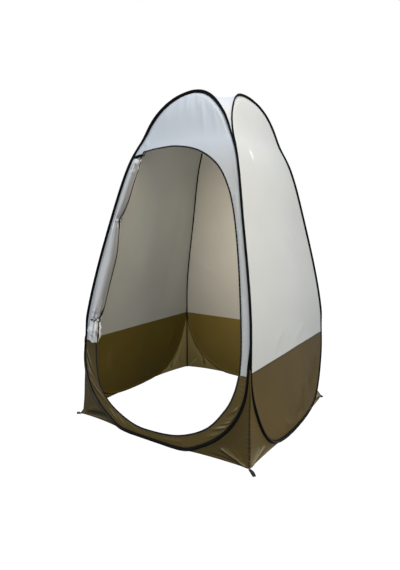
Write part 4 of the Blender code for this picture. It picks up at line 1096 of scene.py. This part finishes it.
# Corner tapes. Inside the tent the raw edges of two panels are bound together by a black tape, which runs
# up each corner from the gusset's binding to the roof.
TAPE_LOW, TAPE_HIGH, TAPE_STATIONS = 0.395, 1.66, 160
TAPE_BACK, TAPE_WIDE, TAPE_THICK = 0.0062, 0.0095, 0.0020


def corner_tape(word, mirror):
    """Tape along the middle of two joined hoops, set inwards from both and waving a little with its
    stitches."""
    z = np.linspace(TAPE_LOW, TAPE_HIGH, TAPE_STATIONS)
    hoops = FRONT.line[: STATIONS + 1], turned(BESIDE.line[: STATIONS + 1] * [-1, 1, 1], 1)
    lines = (np.stack([np.interp(z, hoop[:, 2], hoop[:, k]) for k in range(3)], axis=1) for hoop in hoops)
    back = TAPE_BACK + 0.0005 * np.sin(z * 160 + 2 * np.sin(z * 37))
    path = sum(lines) / 2 + CORNER_IN * back[:, None]
    made = strap(f"{word}_corner_tape", path * mirror, CORNER_ACROSS * mirror, CORNER_IN * mirror,
                 TAPE_WIDE, TAPE_THICK, BINDING_BLACK)


for word, mirror, *_ in GUSSETS:
    corner_tape(word, mirror)


# Peg loops. A length of black webbing folded back on itself with an open eye, its two ends sewn into the
# tip of the gusset, so that a peg can hold the corner down. The front left one is mostly folded under.
LOOP_WIDE, LOOP_THICK, LOOP_HEIGHT = 0.016, 0.0016, 0.010
LOOP_START, LOOP_STATIONS = -0.0030, 72
LOOP_LOWEST = LOOP_THICK / 2 + 0.0002
LOOPS = {"front_right": 0.070, "back_right": 0.015, "back_left": 0.070, "front_left": 0.028}
WEBBING = fabric("black webbing", (0.006, 0.006, 0.0065), (0.030, 0.030, 0.032), 0.62, 0.0016, 0.00025,
                 cloud=40.0)


def peg_loop(word, mirror, foot, length):
    """Loop of webbing seen from its side as a drop: height * sin(t) * (1 - cos t) / 2 over length * (1 -
    cos t) / 2."""
    towards = unit(np.array([*foot, 0.0]))
    across = np.array([-towards[1], towards[0], 0.0])
    t = np.linspace(0, 2 * math.pi, LOOP_STATIONS, endpoint=False)
    far = (1 - np.cos(t)) / 2
    eye = (LOOP_HEIGHT - LOOP_THICK) / 2
    out = 0.001 + (length - LOOP_THICK / 2 - 0.001) * far
    up = LOOP_LOWEST + eye * (1 - np.cos(math.pi * np.minimum(1, far * 1.6))) / 2
    half_gap = (eye * 0.98) * np.sqrt(np.abs(np.sin(t))) * np.sign(np.sin(t)) * np.minimum(1, far * 2.2)
    up = np.maximum(up + half_gap, LOOP_LOWEST)
    path = np.array([*foot, 0]) + towards * (LOOP_START + out)[:, None] + [0, 0, 1] * up[:, None]
    path += across * (0.0012 * np.sin(out * 60) * far)[:, None]
    ahead = unit(np.roll(path, -1, axis=0) - np.roll(path, 1, axis=0))
    over = np.cross(across, ahead)
    made = strap(f"{word}_webbing_loop", path * mirror, across * mirror, over * mirror, LOOP_WIDE, LOOP_THICK,
                 WEBBING, round_rows=True)
    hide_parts(f"{word}_peg_loop")


for word, mirror, foot, *_ in GUSSETS:
    peg_loop(word, mirror, foot, LOOPS[word])


# Door zip. A black woven tape is sewn along the arch and a folded tape binds the sill, each with one half
# of a spiral zip on its free edge. The left side of the doorway is the flap's hinge, so it has tape and no
# spiral.
ZIP_THICK = 0.003
ZIP_TAPE_ROWS = {"upper": 720, "lower": 480}
COIL_STEPS, COIL_PER_TURN = 1200, 6
COIL_PITCH, COIL_WIDE, COIL_DEEP, WIRE = 0.0026, 0.0022, 0.0011, 0.00035
TAPE = fabric("black zip tape", (0.005, 0.005, 0.0055), (0.013, 0.013, 0.014), 0.6, 0.0007, 0.00008,
              cloud=30.0, shine=0.2)
COIL = fabric("black zip spiral", (0.006, 0.006, 0.0065), (0.012, 0.012, 0.013), 0.36, 0.0004, 0.00001,
              cloud=50.0)


def zip_tape(name, part, node, thick):
    """Tape beside the doorway edge, from the edge to the width of the tape, drawn up in small waves by its
    stitches."""
    line = doorway(part, ZIP_TAPE_ROWS[part], ZIP_WIDE / 2)
    along = arc(line)
    off = 0.0003 * np.sin(along * 2 * math.pi / 0.021 + 1.4 * np.sin(along * 17))
    path = FRONT.place(line, off)
    normal = FRONT.normal(line[:, 1])
    ahead = unit(np.gradient(path, axis=0))
    made = strap(name, path, np.cross(ahead, normal), normal, ZIP_WIDE, thick, TAPE, sides=10)
    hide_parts(node)


def zip_spiral(name, part, start, stop):
    """Half a spiral zip: a thin wire wound round the free edge, across * cos t and deep * sin t, with four
    sides."""
    line = doorway(part, COIL_STEPS, 0.0002)[int(start * COIL_STEPS) : int(stop * COIL_STEPS)]
    turns = int(arc(line)[-1] / COIL_PITCH)
    line = spaced(line, turns * COIL_PER_TURN)
    t = np.linspace(0, 2 * math.pi * turns, len(line))
    base = FRONT.place(line, ZIP_THICK / 2 - 0.0004)
    normal = FRONT.normal(line[:, 1])
    ahead = unit(np.gradient(base, axis=0))
    side = np.cross(ahead, normal)
    path = base + side * (COIL_WIDE / 2 * np.cos(t))[:, None] + normal * (COIL_DEEP / 2 * np.sin(t))[:, None]
    run = unit(np.gradient(path, axis=0))
    one = unit(np.cross(run, ahead))
    two = np.cross(run, one)
    a = (np.arange(4) * math.pi / 2)[None, :, None]
    rings = path[:, None] + WIRE * (one[:, None] * np.cos(a) + two[:, None] * np.sin(a))
    made = tube(name, rings, map_of(arc(path), np.arange(5) * WIRE * 1.5), COIL, sharp=80.0)


zip_tape("door_zip_tape", "upper", "door_zip_arch", 0.0016)
zip_tape("door_sill_tape", "lower", "door_sill_binding", 0.0022)
zip_spiral("arch_zip_spiral", "upper", 0.0, 1 - LEFT_SHARE)
zip_spiral("sill_zip_spiral", "lower", 0.0, 1.0)


# Zip sliders. Two small cast sliders, one parked at the end of the arch and one at the left end of the sill.
# Each is a waisted body with a bridge over it, and a flat pull hangs from the bridge.


def two_tones(name, dark, light, scale, rough, rougher, metallic):
    """Hard finish: clouds at a scale carry it from the dark tone to the light one, and make it rougher."""
    made, tree, shader = new_material(name)
    place = tree.nodes.new("ShaderNodeTexCoord").outputs["Object"]
    clouds = use(tree, CLOUDS, Place=place, Scale=scale)["Cloud"]
    plug(tree, blend(tree, clouds, dark, light), shader.inputs["Base Color"])
    plug(tree, sums(tree, "MULTIPLY_ADD", clouds, rougher, rough), shader.inputs["Roughness"])
    shader.inputs["Metallic"].default_value = metallic
    return made


SLIDER_METAL = two_tones("black slider metal", (0.015, 0.015, 0.016), (0.06, 0.06, 0.064), 160.0, 0.28, 0.25,
                         1.0)
LOFT_SIDES = 16
BODY_LONG, BODY_WIDE, BODY_THICK, BODY_LIFT = 0.0062, 0.0044, 0.0012, 0.0021
BRIDGE_LONG, BRIDGE_HIGH, BRIDGE_THICK, BRIDGE_LIFT = 0.0042, 0.0022, 0.0011, 0.0030
PULL_LONG, PULL_WIDE, PULL_WIDENS, PULL_THICK, PULL_LIFT = 0.024, 0.0021, 0.0014, 0.0006, 0.0049


def loft(centre, one, two, half_one, half_two):
    """Rings of rounded sections round a centre line: half widths in two ways, times cos and sin to the
    power 0.6."""
    a = np.arange(LOFT_SIDES) * 2 * math.pi / LOFT_SIDES
    c, s = ((np.sign(v) * np.abs(v) ** 0.6)[None, :, None] for v in (np.cos(a), np.sin(a)))
    one, two = (np.broadcast_to(way, centre.shape)[:, None] for way in (one, two))
    half_one, half_two = (half[:, None, None] for half in (half_one, half_two))
    return centre[:, None] + one * half_one * c + two * half_two * s


def slider(name, node, across, height, lean_of_pull):
    """Slider in three parts, lofted from rounded sections: a waisted body, an arched bridge and a flat pull
    that widens towards its end. The body shuts at its ends by sqrt(1 - t^6), the pull by sqrt(1 - t^8)."""
    origin = FRONT.place(np.array([across, height]), 0.0)
    normal = FRONT.normal(np.array(height))
    up = unit(np.array([0.0, 0.0, 1.0]) - normal * normal[2])
    right = np.cross(up, normal)
    right *= np.sign(right[0])
    t = np.linspace(-1, 1, 15)
    shut = np.sqrt(np.maximum(1 - np.abs(t) ** 6, 0.02))
    half = (BODY_WIDE + 0.0008 * t - 0.0009 * (1 - t**2)) * shut
    centre = origin + up * (BODY_LONG * t)[:, None] + normal * BODY_LIFT
    body = loft(centre, right, normal, half, BODY_THICK * shut)
    t = np.linspace(0, math.pi, 15)
    lift = BRIDGE_LIFT + BRIDGE_HIGH * np.sin(t)
    centre = origin + up * (BRIDGE_LONG * np.cos(t))[:, None] + normal * lift[:, None]
    ahead = unit(np.gradient(centre, axis=0))
    size = np.full(15, BRIDGE_THICK)
    bridge = loft(centre, right, np.cross(ahead, right), size * 1.3, size * 0.55)
    t = np.linspace(0, 1, 21)
    down = unit(-up + right * lean_of_pull)
    lift = PULL_LIFT - 0.0016 * t
    centre = origin - up * 0.002 + down * (PULL_LONG * t)[:, None] + normal * lift[:, None]
    shut = np.sqrt(np.maximum(1 - np.abs(2 * t - 1) ** 8, 0.02))
    half = (PULL_WIDE + PULL_WIDENS * rise(t, 0.15, 0.75)) * shut
    pull = loft(centre, np.cross(normal, down), normal, half, PULL_THICK * shut)
    for word, rings in (("body", body), ("bridge", bridge), ("pull", pull)):
        flat = map_of(np.arange(len(rings)) * 0.001, np.arange(LOFT_SIDES + 1) * 0.0006)
        made = tube(f"{name}_{word}", rings, flat, SLIDER_METAL, sharp=60.0)
        if word == "body":
            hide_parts(node)


slider("upper_slider", "upper_zip_slider", -0.248, 1.572, -0.25)
slider("lower_slider", "lower_zip_slider", -0.448, 0.440, 0.1)


# Rolled door. The door flap is one piece of the grey cloth with the other half of the zip along its free
# edge. It is rolled up to the left jamb, loosely, so it swells between the two ties and gathers in long
# folds where they hold it.
DOOR_ROLL = [
    (1.530, 0.865, 0.024, 0.012), (1.500, 0.868, 0.032, 0.017), (1.400, 0.865, 0.034, 0.021),
    (1.300, 0.868, 0.035, 0.022), (1.230, 0.882, 0.028, 0.019), (1.185, 0.901, 0.020, 0.014),
    (1.135, 0.890, 0.029, 0.019), (1.000, 0.864, 0.043, 0.024), (0.880, 0.866, 0.046, 0.026),
    (0.780, 0.867, 0.044, 0.025), (0.700, 0.870, 0.043, 0.025), (0.650, 0.875, 0.042, 0.024),
    (0.625, 0.876, 0.041, 0.022), (0.606, 0.879, 0.037, 0.019), (0.570, 0.876, 0.041, 0.022),
    (0.535, 0.875, 0.043, 0.025), (0.508, 0.876, 0.041, 0.024), (0.480, 0.876, 0.034, 0.020),
]
CAD_CLOTH = 0.003
SIGHT_SLOPE = 0.96
ROLL_GAP = 0.001
TIE_ROOM, TIE_FADE = 0.0023, 0.035
TIE_HEIGHTS = (1.185, 0.606)
ROLL_TURNS = 6.4
ROLL_INNER = 0.24
ROLL_ENDS = [(0.47, 10), (0.56, 16), (0.60, 20), (0.70, -4), (0.95, -12), (1.12, 2), (1.20, 14), (1.35, 12),
             (1.53, 6)]
# Folds of the roll: share of the radius, waves round it, lean with the height, and phase. Then its two long
# stripes, one raised and one sunk: share of the radius, angle at 0.9 m, lean with the height, and width.
ROLL_FOLDS = ((1.0, 7, 9, 0.5), (0.8, 11, -14, 2.1), (0.6, 5, 5, 4.0))
ROLL_BROAD = ((0.030, 2, 7, 0.0), (0.022, 3, -11, 1.0))
ROLL_STRIPES = ((0.07, 0.85, 0.5, 0.16), (-0.05, 1.55, -0.7, 0.22))
ROLL_DEEP, TIE_DEEP, NEAR_TIE_DEEP, FOOT_DEEP, HEAD_DEEP = 0.012, 0.090, 0.085, 0.100, 0.085
NEAR_TIE, SLUMP = 0.075, 0.006
TAPE_SHARE, TAPE_OFF = 0.9945, 0.0012
# Relief that gives full painted light, the painted shade at the free edge, and the share over which that
# shade grows.
FULL_RELIEF, EDGE_SHADE, EDGE_FROM = 0.14, 0.95, (0.956, 0.982)
ROLL_ROWS, ROLL_INNER_COLUMNS, ROLL_OUTER_COLUMNS = 146, 136, 80
FLAP = fabric("door flap cloth", (0.590, 0.556, 0.510), (0.670, 0.632, 0.582), 0.46, cloud=7.0,
              crease=0.0009, crease_scale=14.0, sheen=0.1, highlight_tone=(0.80, 0.785, 0.76))
FLAP_INSIDE = fabric("door flap inside", (0.19, 0.178, 0.138), (0.27, 0.253, 0.205), 0.55, cloud=9.0,
                     crease=0.0006, crease_scale=16.0, highlight_tone=(0.50, 0.47, 0.40))


def roll_middle():
    """Stations down the roll: middle (x, y, z), half width, half depth, and how near a tie is, 0 to 1."""
    rows = through(DOOR_ROLL, ROLL_ROWS)
    z, depth = rows[:, 0], rows[:, 3]
    edge = FRONT.edge(0.0)
    half = np.interp(z, edge[:, 2], edge[:, 0])
    x = -rows[:, 1] * half + SIGHT_SLOPE * (CAD_CLOTH / 2 + depth)
    near = sum(bell(z - tie, TIE_FADE) for tie in TIE_HEIGHTS)
    y = FRONT.y(z) - CAD_CLOTH / 2 - ROLL_GAP - near * TIE_ROOM - depth
    return np.stack([x, y, z], axis=1), rows[:, 2], depth, near


def wrapped(angle):
    """The same angle between -pi and pi."""
    return np.mod(angle + math.pi, 2 * math.pi) - math.pi


def cosines(table, angle, z):
    """Sum of share * cos(waves * angle + lean * height + phase) over the rows of a table."""
    return sum(share * np.cos(waves * angle + slope * z + phase) for share, waves, slope, phase in table)


def roll_layers(u, grow=0.0):
    """Points of the rolled cloth: the angle unwinds with u from the middle to the free edge, the radius
    grows with it by an even step a turn, and long folds, as cosines of whole numbers of waves that lean
    with the height, deepen towards the ties and the two loose ends."""
    middle, half, depth, near = roll_middle()
    z = middle[:, 2:3]
    heights, ends = np.array(ROLL_ENDS, float).T
    angle = np.radians(np.interp(z, heights, ends)) + (1 - u)[None, :] * ROLL_TURNS * 2 * math.pi
    radius = ROLL_INNER + (1 - ROLL_INNER) * u[None, :]
    low, top = rise(0.60 - z, 0.0, 0.05), rise(z, 1.42, 1.50)
    reach = sum(np.exp(-np.abs(z - tie) / NEAR_TIE) for tie in TIE_HEIGHTS)
    deep = ROLL_DEEP + TIE_DEEP * near[:, None] + NEAR_TIE_DEEP * reach + FOOT_DEEP * low + HEAD_DEEP * top
    crumple = np.cos(4 * angle + 75 * z + 2 * np.sin(31 * z)) * np.cos(3 * angle - 52 * z + 1.0)
    finer = 0.7 * np.cos(6 * angle - 120 * z + 2.0 * np.sin(47 * z + 2 * angle))
    crumple = crumple + finer * np.cos(2 * angle + 61 * z)
    stripes = sum(high * bell(wrapped(angle - at - slope * (z - 0.9)), wide)
                  for high, at, slope, wide in ROLL_STRIPES)
    body = rise(z, 0.60, 0.72) * (1 - rise(z, 1.40, 1.50))
    broad = cosines(ROLL_BROAD, angle, z) + stripes * body
    loose = low + top + 0.5 * bell(z - 0.64, 0.03) + 0.4 * bell(z - 1.15, 0.03)
    relief = deep * cosines(ROLL_FOLDS, angle, z) / 1.6 + 0.16 * loose * crumple
    size = radius * (1 + relief + broad)
    x = middle[:, :1] + (half[:, None] * size + grow) * np.cos(angle)
    y = middle[:, 1:2] - (depth[:, None] * size + grow) * np.sin(angle)
    ends = rise(0.53 - z, 0.0, 0.06) + rise(z, 1.49, 1.53)
    slump = SLUMP * np.sin(angle + 2.0 + 3 * np.sin(2 * angle)) * ends * radius
    # With the points goes the relief that sets the roll's painted light, weaker in the middle of the roll
    # away from the ties.
    return np.stack([x, y, z + slump], axis=-1), relief * (1 - 0.8 * body * (reach < 0.2))


last_turn = 1 - 1.1 / ROLL_TURNS
outer = np.linspace(last_turn, 1, ROLL_OUTER_COLUMNS)[1:]
u = np.concatenate([np.linspace(0, last_turn, ROLL_INNER_COLUMNS), outer])
layers, relief = roll_layers(u)
middle = roll_middle()[0]
around = arc(layers[ROLL_ROWS // 2])
down = arc(middle)
flat = map_of(down, around)[..., ::-1]
loose_end = 1 - rise(middle[:, 2:], 0.585, 0.600)
# Painted highlights on the roll's fold ridges and painted shade in its hollows, painted shade growing towards
# the free edge, and below the lower tie the loose foot goes most of the way to the pale tone.
painted_light = relief / FULL_RELIEF - EDGE_SHADE * rise(u, *EDGE_FROM)[None, :] * (1 - loose_end) + 0.75 * loose_end
flap = cloth("rolled_flap_cloth", layers, flat, FLAP, FLAP_INSIDE, thick=0.0007, middle=middle[:, None],
             painted_light=np.clip(painted_light, -0.85, 0.75))
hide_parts("rolled_door_flap")

strip, relief = roll_layers(np.linspace(TAPE_SHARE, 1.0, 5), TAPE_OFF)
across = arc(strip[ROLL_ROWS // 2])
made = cloth("flap_zip_tape", strip, map_of(down, across)[..., ::-1], TAPE, TAPE, thick=0.0009,
             middle=middle[:, None])


# Door ties. Two bands of the white cloth, sewn to the jamb, go round the roll and close with black toggles on
# its right side: one on the upper band and three on the lower one.
TIE_WIDE, TIE_THICK, TIE_STATIONS = 0.016, 0.0015, 120
TOGGLE = two_tones("black toggle plastic", (0.005, 0.005, 0.0055), (0.012, 0.012, 0.013), 400.0, 0.33, 0.1,
                   0.0)


def tie(name, node, height):
    """Band round the roll that follows its width and depth, pleated where it closes."""
    middle, half, depth, _ = roll_middle()
    order = np.argsort(middle[:, 2])
    rows = (*middle[:, :2].T, half, depth)
    x, y, wide, deep = (np.interp(height, middle[order, 2], row[order]) for row in rows)
    a = np.linspace(0, 2 * math.pi, TIE_STATIONS, endpoint=False)
    off = 0.0012 + TIE_THICK / 2 + 0.0004 * np.sin(9 * a)
    c, s = np.cos(a), -np.sin(a)
    path = np.stack([x + (wide + off) * c, y + (deep + off) * s, height + 0.002 * np.sin(a + 0.6)], axis=1)
    way = unit(np.stack([c / wide, s / deep, 0 * a], axis=1))
    gathered = bell(wrapped(a - 0.45), 0.5)
    made = strap(name, path, np.array([0.0, 0.0, 1.0]), way, TIE_WIDE * (1 - 0.35 * gathered),
                 TIE_THICK * (1 + 0.8 * gathered), WHITE, round_rows=True, sides=16)
    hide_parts(node)
    return path, way


def toggle(name, centre, way, length=0.021, radius=0.0044):
    """Barrel toggle: radius * (1 - 0.25 t^4) along it, with a groove in the middle where its loop sits."""
    t = np.linspace(-1, 1, 25)
    shut = np.sqrt(np.maximum(1 - np.abs(t) ** 10, 0.02))
    size = radius * (1 - 0.25 * t**4 - 0.22 * bell(t, 0.16)) * shut
    way = unit(np.array(way, float))
    one = unit(np.cross(way, [0.0, 0.3, 1.0]))
    two = np.cross(way, one)
    a = np.arange(20) * 2 * math.pi / 20
    round_it = one * np.cos(a)[None, :, None] + two * np.sin(a)[None, :, None]
    rings = (centre + way * (length / 2 * t)[:, None])[:, None] + size[:, None, None] * round_it
    made = tube(name, rings, map_of(t * length / 2, np.append(a, 2 * math.pi) * radius), TOGGLE, sharp=60.0)


for name, node, height, turns in (("upper_tie_band", "upper_door_tie", TIE_HEIGHTS[0], (0.45,)),
                                  ("lower_tie_band", "lower_door_tie", TIE_HEIGHTS[1], (0.30, 1.15, 1.75))):
    path, way = tie(name, node, height)
    for number, angle in enumerate(turns):
        step = int(angle / (2 * math.pi) * len(path))
        leaning = 0.15 + 0.9 * number, 0.1, 1.0 - 0.3 * number
        toggle(f"{name}_toggle_{number + 1}", path[step] + way[step] * 0.004, leaning)


# Strap above the roll. A short flat black strap from the end of the arch to the sleeve, which keeps the top
# of the doorway from spreading.
STRAP_HEIGHT, STRAP_DROP, STRAP_MIDDLE_DROP = 1.556, 0.012, 0.004
STRAP_WIDE, STRAP_THICK, STRAP_STATIONS = 0.0165, 0.0018, 60
edge = FRONT.edge(0.0)
left = -np.interp(STRAP_HEIGHT, edge[:, 2], edge[:, 0]) + SLEEVE_WIDE - 0.002
right = DOOR_ARCH[-1][0] + 0.004
line = through([(left, STRAP_HEIGHT - STRAP_DROP), ((left + right) / 2, STRAP_HEIGHT - STRAP_MIDDLE_DROP),
                (right, STRAP_HEIGHT)], STRAP_STATIONS)
path = FRONT.place(line, 0.0050 + 0.0012 * np.sin(np.linspace(0, math.pi, STRAP_STATIONS)))
normal = FRONT.normal(line[:, 1])
ahead = unit(np.gradient(path, axis=0))
made = strap("door_top_strap", path, np.cross(ahead, normal), normal, STRAP_WIDE, STRAP_THICK, SLEEVE_BLACK)
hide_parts("top_strap")


# Floor, light and camera. A plain pale floor, a cool sky, one soft light overhead, a warm one from the right
# and two weak ones at the doorway. The camera stands right of the door, a little above the tent's middle.
FLOOR_WIDE = 60.0
bpy.ops.mesh.primitive_plane_add(size=FLOOR_WIDE, location=(0, 0, 0))
floor = bpy.context.object
floor.name = "pale_floor"
FLOOR_GLOW = 0.92
paper, tree, shader = new_material("pale floor")
place = tree.nodes.new("ShaderNodeTexCoord").outputs["Object"]
mottle = use(tree, CLOUDS, Place=place, Scale=1.5)["Cloud"]
rays = tree.nodes.new("ShaderNodeLightPath").outputs["Is Camera Ray"]
share = sums(tree, "MULTIPLY_ADD", mottle, 0.04, sums(tree, "MULTIPLY", rays, 0.95))
plug(tree, blend(tree, share, (0.30, 0.30, 0.29), (0.90, 0.90, 0.90)), shader.inputs["Base Color"])
shader.inputs["Roughness"].default_value = 0.9
shader.inputs["Specular IOR Level"].default_value = 0.0
glow = tree.nodes.new("ShaderNodeEmission")
glow.inputs["Strength"].default_value = 1.08
mixed = tree.nodes.new("ShaderNodeMixShader")
plug(tree, sums(tree, "MULTIPLY", rays, FLOOR_GLOW), mixed.inputs[0])
plug(tree, shader.outputs[0], mixed.inputs[1])
plug(tree, glow.outputs[0], mixed.inputs[2])
plug(tree, mixed.outputs[0], tree.nodes["Material Output"].inputs["Surface"])
floor.data.materials.append(paper)

scene = bpy.context.scene
scene.view_settings.view_transform = "Standard"
sky = bpy.data.worlds.new("studio white")
scene.world = sky
sky.use_nodes = True
tree = sky.node_tree
tree.nodes.clear()
heading = axes(tree, tree.nodes.new("ShaderNodeTexCoord").outputs["Generated"])
up, right = (sums(tree, "MAXIMUM", heading[k], 0.0) for k in (2, 0))
colour = blend(tree, up, (0.78, 0.80, 0.83), (0.92, 1.13, 1.50))
colour = blend(tree, right, colour, (0.98, 0.90, 0.70), "MULTIPLY")
seen = tree.nodes.new("ShaderNodeBackground")
lit = tree.nodes.new("ShaderNodeBackground")
seen.inputs["Color"].default_value = (1.0, 1.0, 1.0, 1.0)
seen.inputs["Strength"].default_value = 1.0
plug(tree, colour, lit.inputs["Color"])
lit.inputs["Strength"].default_value = 0.95
mixed = tree.nodes.new("ShaderNodeMixShader")
rays = tree.nodes.new("ShaderNodeLightPath")
tree.links.new(rays.outputs["Is Camera Ray"], mixed.inputs["Fac"])
tree.links.new(lit.outputs[0], mixed.inputs[1])
tree.links.new(seen.outputs[0], mixed.inputs[2])
tree.links.new(mixed.outputs[0], tree.nodes.new("ShaderNodeOutputWorld").inputs["Surface"])


def lamp(name, kind, place, aim, power, colour, **sizes):
    """Light at a place, turned so that its -Z looks at the aim."""
    made = bpy.data.lights.new(name, kind)
    made.energy, made.color = power, colour
    for word, size in sizes.items():
        setattr(made, word, size)
    held = bpy.data.objects.new(name, made)
    held.location = place
    held.rotation_euler = (Vector(aim) - Vector(place)).to_track_quat("-Z", "Y").to_euler()
    held.visible_camera = False
    scene.collection.objects.link(held)


lamp("overhead softbox", "AREA", (1.0, -0.9, 3.0), (0.2, -0.2, 1.6), 12.5, (1.0, 0.97, 0.90), size=0.8)
lamp("warm softbox", "AREA", (2.35, -1.05, 2.25), (0.5, -0.2, 0.9), 19.0, (1.0, 0.80, 0.49), size=0.9)
lamp("doorway light", "AREA", (0.16, -0.24, 1.12), (-0.30, 0.66, 1.20), 1.7, (1.0, 0.96, 0.84),
     shape="RECTANGLE", size=0.4, size_y=0.9)
lamp("back wall light", "AREA", (-0.05, -0.28, 0.92), (0.16, 0.55, 0.76), 1.9, (1.0, 0.92, 0.78),
     shape="RECTANGLE", size=0.4, size_y=1.1, spread=math.radians(120))

CAMERA_PLACE = (1.442, -2.423, 1.176)
CAMERA_TURN, CAMERA_LIFT, CAMERA_ROLL = (math.radians(v) for v in (32.199, 7.807, -1.077))
FOCUS_PIXELS, LONG_PIXELS, SENSOR_WIDE = 449.563, 570, 36.0
flat_share = math.cos(CAMERA_LIFT)
sideways, forwards = math.sin(CAMERA_TURN) * flat_share, -math.cos(CAMERA_TURN) * flat_share
back = Vector((sideways, forwards, math.sin(CAMERA_LIFT)))
level = (-back).cross(Vector((0, 0, 1))).normalized()
below = (-back).cross(level)
across = level * math.cos(CAMERA_ROLL) + below * math.sin(CAMERA_ROLL)
below = below * math.cos(CAMERA_ROLL) - level * math.sin(CAMERA_ROLL)
lens = bpy.data.cameras.new("photo camera")
lens.sensor_width = lens.sensor_height = SENSOR_WIDE
lens.lens = FOCUS_PIXELS / LONG_PIXELS * SENSOR_WIDE
lens.clip_end = 200.0
camera = bpy.data.objects.new("photo camera", lens)
camera.matrix_world = Matrix.Translation(CAMERA_PLACE) @ Matrix((across, -below, back)).transposed().to_4x4()
scene.collection.objects.link(camera)
scene.camera = camera
